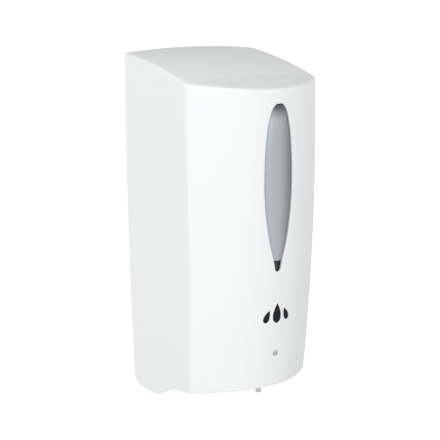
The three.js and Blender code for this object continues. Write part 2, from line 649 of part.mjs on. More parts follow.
// ---------------------------------------------------------------- hose pump
const makePump = () => {
  const { x, z, rollerOrbit, rollerRadius, rollers } = ROTOR;
  // Housing: a round wall with two mouths, one for each end of the hose.
  const outline = new THREE.Shape().absarc(x, z, RACE.radius + RACE.wall, 0, 2 * Math.PI, false);
  const feet = box([x - 24, x + 24], [RACE.rear - 3, RACE.rear], [z - 6, z + 6]);
  const upperBlock = box([-5.5, 7], [RACE.front, RACE.rear], [z + 12, z + RACE.radius + 6]);
  const lowerBlock = box([-5.5, 7], [RACE.front, RACE.rear], [z - RACE.radius - 6, z - 12]);
  const well = cylinder("y", RACE.radius, [RACE.front - 1, RACE.rear - 2], [x, z], 32);
  const mouth = (side) => {
    const span = side > 0 ? [z + 8, z + 40] : [z - 40, z - 8];
    return box([x, HOSE.radius + 0.6], [RACE.front - 1, RACE.rear - 2], span);
  };
  const shaftHole = cylinder("y", ROTOR.shaft + 0.4, [-100, -70], [x, z], 12);
  const race = join(alongY(outline, [RACE.front, RACE.rear], 10), feet, upperBlock, lowerBlock);
  const housing = cut(race, well, mouth(1), mouth(-1), shaftHole);
  place("pump_housing", "pump_grey", housing);

  const disc = new THREE.Shape().absarc(x, z, RACE.radius + RACE.wall, 0, 2 * Math.PI, false);
  const lid = alongY(disc, [RACE.front - 2.3, RACE.front - GAP], 10);
  place("pump_lid", "clear_plastic", lid);

  // Rotor: two plates on a hub, with a pin between them for each roller.
  const plateRadius = rollerOrbit + 2.4;
  let rotor = join(
    cylinder("y", plateRadius, [-90.6, -89.2], [x, z], 20),
    cylinder("y", plateRadius, [-83.2, -82.3], [x, z], 20),
    cylinder("y", 4, [-90, -82.5], [x, z], 16),
  );
  for (let i = 0; i < rollers; i++) {
    const angle = Math.PI / 2 + (2 * Math.PI * i) / rollers;
    const at = [x + rollerOrbit * Math.cos(angle), z + rollerOrbit * Math.sin(angle)];
    rotor = rotor.add(cylinder("y", 1, [-89.5, -83], at, 8));
    const rim = cylinder("y", rollerRadius, [-88.9, -83.5], at, 16);
    const wheel = cut(rim, cylinder("y", 1.4, [-95, -80], at, 10));
    place(`pump_roller_${i + 1}`, "pump_grey", wheel);
  }
  place("pump_rotor", "gear_white", rotor);
};

// The hose drops from the spout, goes round the rotor's far side and drops to the nozzle.
class HosePath extends THREE.CurvePath {
  constructor() {
    super();
    const { x, z } = ROTOR;
    const at = (px, pz) => new THREE.Vector3(px, PUMP_Y, pz);
    const { loop, bend } = HOSE;
    const topZ = z + loop;
    const lowZ = z - loop;
    const arc = (cx, cz, radius, from, to) => {
      const curve = new THREE.Curve();
      curve.getPoint = (t, target = new THREE.Vector3()) => {
        const angle = from + (to - from) * t;
        return target.set(cx + radius * Math.cos(angle), PUMP_Y, cz + radius * Math.sin(angle));
      };
      return curve;
    };
    this.add(new THREE.LineCurve3(at(x + bend, -45), at(x + bend, topZ + bend)));
    this.add(arc(x, topZ + bend, bend, 0, -Math.PI / 2));
    this.add(arc(x, z, loop, Math.PI / 2, (3 * Math.PI) / 2));
    this.add(arc(x, lowZ - bend, bend, Math.PI / 2, 0));
    this.add(new THREE.LineCurve3(at(x + bend, lowZ - bend), at(x + bend, NOZZLE.top + GAP)));
  }
}

const makeHose = () => {
  place("pump_hose", "tank_milky", swept(new HosePath(), HOSE.radius, 36, 6));
  // A rubber sleeve joins the tank's spout to the hose.
  const profile = [
    [HOSE.radius + 0.35, -50.5],
    [4.6, -50.5],
    [6.4, -47],
    [6.4, -38],
    [SPOUT.radius + 0.35, -38],
    [SPOUT.radius + 0.35, SPOUT.low - 0.5],
    [HOSE.radius + 0.35, SPOUT.low - 0.5],
    [HOSE.radius + 0.35, -50.5],
  ];
  place("inlet_sleeve", "rubber_black", turned("z", profile, [0, PUMP_Y, 0], 16));
};

const makeNozzle = () => {
  const { tip, top, radius } = NOZZLE;
  const profile = [
    [1.1, tip],
    [radius - 0.5, tip],
    [radius, tip + 0.8],
    [radius, -124],
    [3.6, -121.5],
    [3.6, top],
    [1.1, top],
    [1.1, tip],
  ];
  place("nozzle", "nozzle_silicone", turned("z", profile, [0, PUMP_Y, 0], 16));
  const ring = [
    [3.9, -124],
    [7, -124],
    [8, -123],
    [8, -121.3],
    [5.6, -121.3],
    [5.6, -118.7],
    [5.2, -117],
    [3.9, -117],
    [3.9, -124],
  ];
  place("nozzle_ring", "inner_white", turned("z", ring, [0, PUMP_Y, 0], 16));
};

// ---------------------------------------------------------------- front panel, floor, board, sensor, switch
const makePanel = () => {
  const { x, y, z } = PANEL;
  const shape = roundedShape([-x, x], z, 4);
  shape.holes.push(roundHole(ROTOR.x, ROTOR.z, ROTOR.shaft + 0.6));
  for (const side of [-1, 1]) {
    for (const holeZ of [-45, -104]) shape.holes.push(roundHole(side * (x - 5.5), holeZ, 1.8));
  }
  const plate = alongY(shape, y, 4);
  const slotX = [SWITCH.x - 4.3, SWITCH.x + 4.3];
  const switchSlot = box(slotX, [y[0] - 1, y[1] + 1], [SWITCH.z - 7.3, SWITCH.z + 7.3]);
  const leadHole = (side) => cylinder("y", 3.2, [-90, -70], [side * 45, -90], 10);
  place("front_panel", "inner_white", cut(plate, switchSlot, leadHole(1), leadHole(-1)));
  for (const [name, side] of [["left", -1], ["right", 1]]) {
    for (const [level, height] of [["upper", -45], ["lower", -104]]) {
      const point = [side * (x - 5.5), y[0] - GAP, height];
      place(`panel_screw_${level}_${name}`, "steel", screw("-y", point, 3, 1.2, 1.8, 9));
    }
  }
};

const makeFloor = () => {
  const { x, z, rear, corner, bulge, span } = FLOOR;
  const shape = new THREE.Shape();
  shape.moveTo(x, rear);
  shape.lineTo(-x, rear);
  const steps = 12;
  for (let i = 0; i <= steps; i++) {
    const px = -x + (2 * x * i) / steps;
    shape.lineTo(px, -(corner + bulge * (1 - (px / span) ** 2)));
  }
  shape.holes.push(roundHole(0, PUMP_Y, 5.9));
  for (const side of [-1, 1]) shape.holes.push(roundHole(side * SENSOR.x, SENSOR.y, SENSOR.lens + GAP));
  const plate = alongZ(shape, z, 6);
  const riser = box([-46, 46], [-76.7, -74.5], [z[1] - 0.5, -113]);
  place("floor_panel", "inner_white", join(plate, riser));
  for (const [name, side] of [["left", -1], ["right", 1]]) {
    const lens = turned(
      "z",
      [
        [0, z[0] - 0.6],
        [SENSOR.lens - 1, z[0] - 0.4],
        [SENSOR.lens, z[0]],
        [SENSOR.lens, z[1]],
        [SENSOR.lens + 1.2, z[1] + GAP],
        [SENSOR.lens + 1.2, z[1] + 1.4],
        [0, z[1] + 1.4],
      ],
      [side * SENSOR.x, SENSOR.y, 0],
      16,
    );
    place(`sensor_lens_${name}`, "frame_black", lens);
  }
};

const makeBoard = () => {
  const { x, y, z } = BOARD;
  const shape = roundedShape([-x, x], y, 3);
  shape.holes.push(roundHole(0, PUMP_Y, 4.6));
  const chip = box([11, 20], [-91, -84], [z[1] - 0.2, z[1] + 2]);
  place("control_board", "board_green", join(alongZ(shape, z, 4), chip));
  for (const [name, side] of [["ir_emitter", -1], ["ir_receiver", 1]]) {
    const top = z[0] - GAP;
    const { radius } = SENSOR;
    const profile = [
      [0, top - 8.6],
      [radius * 0.6, top - 8],
      [radius, top - 6],
      [radius, top - 1],
      [radius + 0.4, top - 1],
      [radius + 0.4, top],
      [0, top],
    ];
    place(name, "frame_black", turned("z", profile, [side * SENSOR.x, SENSOR.y, 0], 12));
  }
  // The indicator LED stands on the board's front edge and looks forward through the cover.
  const ledProfile = [[0, -99.4], [1.1, -98.9], [1.5, -97.8], [1.5, -95], [0, -95]];
  const led = turned("y", ledProfile, [0, 0, INDICATOR.z], 12);
  const legs = box([-1.3, 1.3], [-95.8, -94.6], [z[1] + GAP, INDICATOR.z + 0.5]);
  place("indicator_led", "indicator_grey", join(led, legs));
};

const makeSwitch = () => {
  const { x, z } = SWITCH;
  const bezel = box([x - 6, x + 6], [-81.2, -79.5], [z - 9, z + 9]);
  const body = box([x - 4, x + 4], [-79.6, -72], [z - 7, z + 7]);
  const slot = box([x - 2.4, x + 2.4], [-85, -76], [z - 5, z + 5]);
  place("power_switch", "frame_black", cut(join(bezel, body), slot));
  const slider = box([x - 2, x + 2], [-80.8, -76.4], [z + 0.4, z + 4.6]);
  const tab = box([x - 2, x + 2], [-83, -80.5], [z + 1, z + 4]);
  place("switch_knob", "lead_red", join(slider, tab));
};

// Leads, held all the way from the battery contacts and the motor to the switch and the board.
const LEADS = {
  battery_lead_positive: [
    "lead_red",
    [
      [-39.9, -18.8, -49.6],
      [-39.9, -27, -45],
      [-41, -50, -43.5],
      [-43, -68, -60],
      [-45, -74, -85],
      [-45, -79, -90],
      [-40, -83, -94],
      [-27, -87, -98.2],
      [-22, -88, -99],
    ],
  ],
  battery_lead_negative: [
    "lead_black",
    [
      [39.9, -18.8, -49.6],
      [39.9, -27, -45],
      [39, -48, -43.5],
      [34.5, -62, -45.5],
      [33, -71.4, -48.5],
    ],
  ],
  motor_lead: [
    "lead_red",
    [
      [MOTOR_X + 4, -37.2, -76],
      [MOTOR_X + 6, -36, -84],
      [MOTOR_X + 12, -44, -96],
      [44, -66, -97],
      [45, -74, -91],
      [45, -79, -90],
      [40, -83, -94],
      [27, -87, -98.2],
      [22, -88, -99],
    ],
  ],
};

const makeLeads = () => {
  for (const [name, [paint, points]] of Object.entries(LEADS)) {
    const curve = new THREE.CatmullRomCurve3(points.map((p) => new THREE.Vector3(...p)));
    place(name, paint, swept(curve, 0.8, 22, 5));
  }
};

makeCover();
makeWindow();
makeIndicatorLens();
makeWallPlate();
makeLatch();
makeTank();
makeChassis();
makeBatteries();
makeBatteryDoor();
makeGears();
makePump();
makeHose();
makeNozzle();
makePanel();
makeFloor();
makeBoard();
makeSwitch();
makeLeads();

export default dispenser;
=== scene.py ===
import json
import math

import bmesh
import bpy
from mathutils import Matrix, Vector


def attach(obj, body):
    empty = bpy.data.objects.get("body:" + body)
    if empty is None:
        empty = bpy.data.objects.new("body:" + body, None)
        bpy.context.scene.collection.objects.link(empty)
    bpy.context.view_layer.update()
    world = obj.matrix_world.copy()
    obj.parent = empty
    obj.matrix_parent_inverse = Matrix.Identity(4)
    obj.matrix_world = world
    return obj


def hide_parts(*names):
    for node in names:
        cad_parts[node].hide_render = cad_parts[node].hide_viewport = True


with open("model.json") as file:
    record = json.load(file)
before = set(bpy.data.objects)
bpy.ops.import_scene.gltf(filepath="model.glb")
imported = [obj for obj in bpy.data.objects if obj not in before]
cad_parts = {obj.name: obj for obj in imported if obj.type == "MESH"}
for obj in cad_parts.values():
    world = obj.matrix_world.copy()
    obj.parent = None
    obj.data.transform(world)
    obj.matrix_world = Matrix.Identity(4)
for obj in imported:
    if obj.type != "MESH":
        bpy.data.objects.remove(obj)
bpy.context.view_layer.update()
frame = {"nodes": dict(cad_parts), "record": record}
NODES = frame["nodes"]
MM = 0.001

# ---------------------------------------- sizes and places, in millimetres
LOW = -125.3  # the front lower corner
HEIGHT = 261.4  # from there to the top's middle at the wall
WALL = 2.6
# A swelling size is given as its value at the bottom, at the top, and how far its middle swells.
HALF_WIDTH = (59.4, 65.0, 1.6)
CORNER_DEPTH = (74.2, 77.2, 4.0)
FRONT_BULGE = (29.4, 30.6)
# The top's side edges from the wall to the side's front corner, and the crown between them.
TOP_EDGE = (258.5, 238.9, 2.3)
TOP_CROWN = (2.9, 3.5)
TOP_HALF_WIDTH = 64.5
TOP_SHARE = 0.92  # share of the height at which the top ends in front
TOP_FALL = 22  # per corner depth, in front of the corners

# The leaf-shaped window: where it is widest, its two ends, half its width, and its tip's rounding.
LEAF_MID = 40.0
LEAF_TOP = 97.8
LEAF_TIP = -31.0
LEAF_WIDE = 14.2
LEAF_TIP_ROUND = 3.2

# Places: x is across, y is 0 at the wall and negative in front of it, and z is up.
MARK_Z = -63.3
INDICATOR_Z = -95.0
HINGE_Y, HINGE_Z = -33.0, -117.5
TANK_Y = -50.0
NOZZLE_Y = -86.0
PUMP_X, PUMP_Z = -10.0, -76.0
SENSOR_X, SENSOR_Y = 14.0, -88.0
CELL_Y, CELL_PITCH = -18.8, 26.6
BOARD_TOP = -100.0
SIDES = (("left", -1), ("right", 1))


# ---------------------------------------- shape of the outer body
def swelling(low, top, swell, share):
    """A size that goes from low to top and swells by swell halfway."""
    return low * (1 - share) + top * share + 4 * swell * share * (1 - share)


def height_share(z):
    return (z - LOW) / HEIGHT


def half_width(z):
    return swelling(*HALF_WIDTH, height_share(z))


def corner_depth(z):
    """How far the side's front corner stands off the wall."""
    return swelling(*CORNER_DEPTH, height_share(z))


def front_y(x, z):
    """The front, which bulges between the two corners."""
    share = height_share(z)
    across = x / half_width(z)
    bulge = FRONT_BULGE[0] * (1 - share) + FRONT_BULGE[1] * share
    return -(corner_depth(z) + bulge * (1 - across * across))


def top_z(x, y):
    """The top, which slopes down to the corners, is crowned across and falls off over the bulge."""
    along = -y / swelling(*CORNER_DEPTH, TOP_SHARE)
    side = min(along, 1)
    across = x / TOP_HALF_WIDTH
    edge = swelling(*TOP_EDGE, side)
    crown = TOP_CROWN[0] * (1 - side) + TOP_CROWN[1] * side
    return LOW + edge + crown * (1 - across * across) - TOP_FALL * max(along - 1, 0)


def bezier(a, b, c, t):
    """A point on the curve from a to c that leaves and arrives along the lines to b."""
    return tuple((1 - t) ** 2 * p + 2 * t * (1 - t) * q + t * t * r for p, q, r in zip(a, b, c))


def lower_outline():
    """The side's lower edge as (y, z) points from the wall to the front."""
    points = [bezier((-1, 0), (-3, -7.5), (-10, -8.6), i / 12) for i in range(13)]
    points += [(-15, -9.15), (-21, -9.95)]
    points += [bezier((-27, -10.8), (-32, -11), (-36, -9), i / 8) for i in range(9)]
    points += [(-40, -6.9), (-45, -4.3)]
    points += [bezier((-49, -2.3), (-52, -0.8), (-55, -0.6), i / 6) for i in range(7)]
    points += [(-125, 4.9)]
    return [(y, LOW + z) for y, z in points]


LOWER = lower_outline()


def bottom_z(y):
    """Height of the lower edge at a distance from the wall."""
    for (y0, z0), (y1, z1) in zip(LOWER, LOWER[1:]):
        if y1 <= y <= y0:
            return z0 + (z1 - z0) * (y - y0) / (y1 - y0)
    return LOWER[0][1] if y > LOWER[0][0] else LOWER[-1][1]


def leaf_half(z, top=LEAF_TOP, tip=LEAF_TIP):
    """Half the leaf's width at a height: blunt above, slender below, with a rounded tip."""
    up = z > LEAF_MID
    share = (z - LEAF_MID) / ((top if up else tip) - LEAF_MID)
    half = LEAF_WIDE * max(1 - share * share, 0) ** (0.36 if up else 0.85)
    round_tip = math.sqrt(max(LEAF_TIP_ROUND**2 - min(z - tip - LEAF_TIP_ROUND, 0) ** 2, 0))
    return (half**4 + round_tip**4) ** 0.25


def cosine_rows(low, high, count):
    """Heights from low to high that crowd together at both ends."""
    middle, reach = (low + high) / 2, (high - low) / 2
    return [middle - reach * math.cos(math.pi * i / count) for i in range(count + 1)]


# ---------------------------------------- mesh helpers
def shade_smooth(mesh):
    mesh.polygons.foreach_set("use_smooth", [True] * len(mesh.polygons))


def make_object(name, vertices, faces, material, body):
    """A mesh object from points in millimetres."""
    mesh = bpy.data.meshes.new(name)
    mesh.from_pydata([Vector(v) * MM for v in vertices], [], faces)
    mesh.validate()
    mesh.update()
    shade_smooth(mesh)
    piece = bpy.data.objects.new(name, mesh)
    bpy.context.scene.collection.objects.link(piece)
    piece.data.materials.append(material)
    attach(piece, body)
    return piece


def bevel(piece, width, angle=35):
    """Rounds a piece's sharp edges by width millimetres and keeps its faces evenly shaded."""
    modifier = piece.modifiers.new("round", "BEVEL")
    modifier.width = width * MM
    modifier.segments = 2
    modifier.limit_method = "ANGLE"
    modifier.angle_limit = math.radians(angle)
    piece.modifiers.new("normals", "WEIGHTED_NORMAL").keep_sharp = True
    shade_smooth(piece.data)


def clean(piece):
    """Joins doubled points, drops empty faces and turns every face outwards."""
    work = bmesh.new()
    work.from_mesh(piece.data)
    bmesh.ops.remove_doubles(work, verts=work.verts, dist=2e-6)
    bmesh.ops.dissolve_degenerate(work, edges=work.edges, dist=1e-6)
    bmesh.ops.recalc_face_normals(work, faces=work.faces)
    work.to_mesh(piece.data)
    work.free()
    shade_smooth(piece.data)


def strip(faces, first, second, closed):
    """Adds a strip of four-sided faces between two rows of point numbers."""
    count = len(first)
    for i in range(count if closed else count - 1):
        j = (i + 1) % count
        faces.append((first[i], first[j], second[j], second[i]))


def strips(faces, rows, closed=True):
    """Adds the strips between each row and the next."""
    for first, second in zip(rows, rows[1:]):
        strip(faces, first, second, closed)


def add_row(points, row):
    """Adds a row of points and returns their numbers."""
    start = len(points)
    points.extend(row)
    return list(range(start, len(points)))


def lathe(name, profile, centre, axis, material, body, segments=48):
    """Turns a profile of (radius, height) points about an axis through centre, in millimetres."""
    vertices, faces, rings = [], [], []
    for radius, height in profile:
        ring = []
        for i in range(segments):
            angle = 2 * math.pi * i / segments
            a, b = radius * math.cos(angle), radius * math.sin(angle)
            point = {"x": (height, a, b), "y": (b, height, a), "z": (a, b, height)}[axis]
            ring.append(tuple(p + c for p, c in zip(point, centre)))
        rings.append(add_row(vertices, ring))
    strips(faces, rings)
    piece = make_object(name, vertices, faces, material, body)
    clean(piece)
    return piece


# ---------------------------------------- materials
FINISHES = {}  # by the name of the CAD's material slot
CLOUDS, GLOSS_PATCHES = 22, 60  # noise scales, per metre


def link(tree, start, end):
    tree.links.new(start, end)


def set_inputs(node, **values):
    """Sets a node's sockets. A _ in a keyword stands for a space in the socket's name."""
    for socket, value in values.items():
        node.inputs[socket.replace("_", " ")].default_value = value


def new_material(name):
    """A new material, its node tree and its shader."""
    material = bpy.data.materials.new(name)
    material.use_nodes = True
    tree = material.node_tree
    return material, tree, tree.nodes["Principled BSDF"]


def fade(tree, value, *numbers, kind="LINEAR"):
    """Maps a value from the first two numbers to the last two."""
    node = tree.nodes.new("ShaderNodeMapRange")
    node.interpolation_type = kind
    for socket, number in zip(("From Min", "From Max", "To Min", "To Max"), numbers):
        node.inputs[socket].default_value = number
    link(tree, value, node.inputs["Value"])
    return node.outputs["Result"]


def combine(tree, operation, first, second):
    """The sum, product or larger of two values."""
    node = tree.nodes.new("ShaderNodeMath")
    node.operation = operation
    link(tree, first, node.inputs[0])
    link(tree, second, node.inputs[1])
    return node.outputs["Value"]


def noise(tree, scale, detail=3.0, stretch=(1, 1, 1)):
    """Cloudy values over the piece, in its own space."""
    place = tree.nodes.new("ShaderNodeTexCoord")
    mapping = tree.nodes.new("ShaderNodeMapping")
    mapping.inputs["Scale"].default_value = stretch
    texture = tree.nodes.new("ShaderNodeTexNoise")
    set_inputs(texture, Scale=scale, Detail=detail)
    link(tree, place.outputs["Object"], mapping.inputs["Vector"])
    link(tree, mapping.outputs["Vector"], texture.inputs["Vector"])
    return texture.outputs["Fac"]


def finish_material(
    name,
    color,
    rough,
    metallic=0.0,
    tone=0.04,
    grain=900,
    grain_depth=0.02,
    coat=0.0,
    brush=(1, 1, 1),
    uneven=0.15,
    **extra,
):
    """A moulded or metal finish: cloudy colour, uneven gloss and a fine surface grain.

    tone and uneven are shares, grain is a noise scale, grain_depth is in millimetres, and brush
    stretches the grain. extra sets the shader's other sockets.
    """
    material, tree, shader = new_material(name)
    mix = tree.nodes.new("ShaderNodeMix")
    mix.data_type = "RGBA"
    darker, paler = [c * (1 - tone) for c in color], [min(c * (1 + tone), 1) for c in color]
    set_inputs(mix, A=(*darker, 1), B=(*paler, 1))
    link(tree, noise(tree, CLOUDS), mix.inputs["Factor"])
    link(tree, mix.outputs["Result"], shader.inputs["Base Color"])
    patches = noise(tree, GLOSS_PATCHES, 2)
    gloss = fade(tree, patches, 0.3, 0.7, rough * (1 - uneven), min(rough * (1 + uneven), 1))
    link(tree, gloss, shader.inputs["Roughness"])
    bump = tree.nodes.new("ShaderNodeBump")
    set_inputs(bump, Strength=1.0, Distance=grain_depth * MM)
    link(tree, noise(tree, grain, 2, brush), bump.inputs["Height"])
    link(tree, bump.outputs["Normal"], shader.inputs["Normal"])
    set_inputs(shader, Metallic=metallic, Coat_Weight=coat, Coat_Roughness=0.08, **extra)
    FINISHES[name] = material
    return material


WHITE = finish_material(
    "cover_white", (0.857, 0.867, 0.873), 0.42, tone=0.004, grain=700, grain_depth=0.0006,
    uneven=0.03, Specular_IOR_Level=0.3,
)
INNER = finish_material("inner_white", (0.74, 0.75, 0.755), 0.5, tone=0.02, grain=1800)
# The smoked pane's own tint; painted shade is added to this colour below.
SMOKE_WITH_PAINTED_SHADE = finish_material(
    "window_smoke", (0.485, 0.525, 0.565), 0.16, tone=0.03, grain=500, grain_depth=0.001, coat=0.3,
    Alpha=0.82,
)
BLACK = finish_material("frame_black", (0.025, 0.026, 0.03), 0.45, tone=0.1, grain=1600)
LENS = finish_material("indicator_grey", (0.50, 0.51, 0.56), 0.3, tone=0.03, coat=0.5)
MILKY = finish_material(
    "tank_milky", (0.66, 0.70, 0.73), 0.35, tone=0.02, grain=700, Subsurface_Weight=0.5,
    Subsurface_Scale=0.004,
)
BLUE = finish_material("cap_blue", (0.06, 0.19, 0.40), 0.42, tone=0.06, grain=1500)
SILICONE = finish_material("tube_silicone", (0.60, 0.62, 0.64), 0.38, tone=0.03)
finish_material("pump_grey", (0.10, 0.11, 0.12), 0.5, tone=0.06, grain=1500, grain_depth=0.025)
finish_material("clear_plastic", (0.75, 0.78, 0.80), 0.08, tone=0.02, coat=0.4, Alpha=0.28)
ACETAL = finish_material(
    "gear_white", (0.74, 0.72, 0.66), 0.42, tone=0.02, Subsurface_Weight=0.2,
    Subsurface_Scale=0.001,
)
RUBBER = finish_material("rubber_black", (0.02, 0.02, 0.021), 0.65, tone=0.15, grain=1200, grain_depth=0.03)
STEEL = finish_material(
    "steel", (0.56, 0.57, 0.58), 0.32, metallic=1.0, tone=0.05, grain=1500, grain_depth=0.006,
    brush=(1, 1, 14),
)
BRASS = finish_material(
    "brass", (0.62, 0.50, 0.26), 0.3, metallic=1.0, tone=0.06, grain=1400, grain_depth=0.006,
)
finish_material(
    "board_green", (0.012, 0.12, 0.05), 0.35, tone=0.2, grain=800, grain_depth=0.01, coat=0.5,
)
RED = finish_material("lead_red", (0.42, 0.025, 0.02), 0.4, tone=0.06)
finish_material("switch_red", (0.50, 0.03, 0.02), 0.3)
JACKET = finish_material(
    "cell_jacket", (0.03, 0.04, 0.055), 0.28, tone=0.08, grain=500, grain_depth=0.008, coat=0.4,
)
PRINT = finish_material(
    "print_grey", (0.012, 0.013, 0.016), 0.5, tone=0.12, grain_depth=0.002, Specular_IOR_Level=0.15,
)


def paint_window_shade(material):
    """Painted shade: the pane's colour darkens towards its right and upper edges."""
    tree = material.node_tree
    shader = tree.nodes["Principled BSDF"]
    color = shader.inputs["Base Color"].links[0].from_socket
    place = tree.nodes.new("ShaderNodeTexCoord")
    split = tree.nodes.new("ShaderNodeSeparateXYZ")
    link(tree, place.outputs["Object"], split.inputs["Vector"])
    # Between start and end, in millimetres, the painted shade darkens the colour to its darkest share.
    for axis, start, end, deepest in (("X", -3.0, 15.0, 0.4), ("Z", 84.0, 97.5, 0.2)):
        share = fade(tree, split.outputs[axis], start * MM, end * MM, 1.0, deepest, kind="SMOOTHSTEP")
        scale = tree.nodes.new("ShaderNodeVectorMath")
        scale.operation = "SCALE"
        link(tree, color, scale.inputs["Vector"])
        link(tree, share, scale.inputs["Scale"])
        color = scale.outputs["Vector"]
    link(tree, color, shader.inputs["Base Color"])


# Paints shade into the smoked pane's colour.
paint_window_shade(SMOKE_WITH_PAINTED_SHADE)
FINISHES["lead_black"] = RUBBER


# ---------------------------------------- the cover
EDGE = 0.7  # rounding of the cover's free edges
INNER_EDGE = 0.3
TOP_ROUND = 2.4
INNER_TOP_ROUND = 1.2
CORNER_ROUND = 1.9
REAR_Y = -1.0
FRONT_Y = -106  # the front's middle, near the bottom
FOOT_Z, HEAD_Z = -100, 108  # heights at which a column's place below and above is read off
# A skin is a grid of columns, from the wall round the corner to the middle of the front.
SIDE_COLUMNS, CORNER_COLUMNS, FRONT_COLUMNS = 40, 8, 34
COLUMNS = SIDE_COLUMNS + CORNER_COLUMNS + FRONT_COLUMNS
HEEL = (0, 0.35, 0.8, 1.4, 2.2, 3.2, 4.6, 6.4)  # the first columns, close together at the curved heel
BELOW_ROWS, LEAF_ROWS, ABOVE_ROWS, ROUND_ROWS = 20, 72, 6, 7
TOP_ACROSS = 28


def cover_rows(inset):
    """Row heights on the front's middle line, and how far past the leaf they are spaced.

    Rows above the leaf are shares of the way from there to the top's rounding.
    """
    grow = EDGE if inset == 0 else INNER_EDGE
    low = bottom_z(FRONT_Y) + EDGE
    below = [low + (LEAF_TIP - grow - low) * i / BELOW_ROWS for i in range(BELOW_ROWS)]
    inside = cosine_rows(LEAF_TIP - grow, LEAF_TOP + grow, LEAF_ROWS)
    above = [i / ABOVE_ROWS for i in range(1, ABOVE_ROWS + 1)]
    return below, inside, above, grow


def cover_column(column, z, inset, opening=0.0):
    """Where a column crosses the height z. The last column ends at x = opening."""
    w = half_width(z) - inset
    corner_y = front_y(half_width(z), z) + inset
    rear = REAR_Y - EDGE
    if column < len(HEEL):
        return w, rear - HEEL[column]
    if column < SIDE_COLUMNS:
        share = (column - len(HEEL) + 1) / (SIDE_COLUMNS - len(HEEL))
        first = rear - HEEL[-1]
        return w, first + (corner_y + CORNER_ROUND - first) * share
    x_end = w - CORNER_ROUND * 0.72  # the rounding is narrower across than along the side
    y_end = front_y(x_end * half_width(z) / w, z) + inset
    if column < SIDE_COLUMNS + CORNER_COLUMNS:
        t = (column - SIDE_COLUMNS + 1) / CORNER_COLUMNS
        return bezier((w, corner_y + CORNER_ROUND), (w, corner_y), (x_end, y_end), t)
    t = (column - SIDE_COLUMNS - CORNER_COLUMNS + 1) / FRONT_COLUMNS
    x = x_end + (opening - x_end) * t
    return x, front_y(x * half_width(z) / w, z) + inset


def top_rounding(inset):
    """How far the skin's upper corners are rounded."""
    return TOP_ROUND if inset == 0 else INNER_TOP_ROUND


def column_heights(column, inset, below, inside, above):
    """A column's row heights, from its own place on the lower edge to its own place under the top."""
    _, y = cover_column(column, FOOT_Z, inset)
    low = bottom_z(min(y, REAR_Y)) + EDGE
    x, y = cover_column(column, HEAD_Z, inset)
    high = top_z(x, y) - top_rounding(inset) - inset
    heights = [low + (z - below[0]) * (below[-1] - low) / (below[-1] - below[0]) for z in below]
    return heights + inside + [inside[-1] + (high - inside[-1]) * share for share in above]


def leaf_opening(z, rows_to_end, grow):
    """Half the width of a skin's leaf opening at height z, kept open near the leaf's two ends."""
    reach = min(z - (LEAF_TIP - grow), LEAF_TOP + grow - z)
    # The leaf's own width is read a little nearer its middle, where it isn't closed yet.
    opening = leaf_half((z - LEAF_MID) * 0.9992 + LEAF_MID) + grow * min(1, (reach / 1.5) ** 0.5)
    return max(opening, 0.15 * rows_to_end)


def top_round_point(column, base_z, angle, inset):
    """A point on the rounding between a column and the top, at an angle from the column's foot."""
    rounding = top_rounding(inset)
    x, y = cover_column(column, base_z, inset)
    ahead = cover_column(min(column + 1, COLUMNS - 1), base_z, inset)
    behind = cover_column(max(column - 1, 0), base_z, inset)
    along_x, along_y = ahead[0] - behind[0], ahead[1] - behind[1]
    length = math.hypot(along_x, along_y)
    inward = (along_y / length, -along_x / length)
    if column == 0:
        inward = (-1.0, 0.0)
    if column == COLUMNS - 1:
        inward = (0.0, 1.0)
    pull = rounding * (1 - math.cos(angle))
    x = 0.0 if column == COLUMNS - 1 else max(x + inward[0] * pull, 0.0)
    y += inward[1] * pull
    return x, y, top_z(x, y) - inset - rounding * (1 - math.sin(angle))


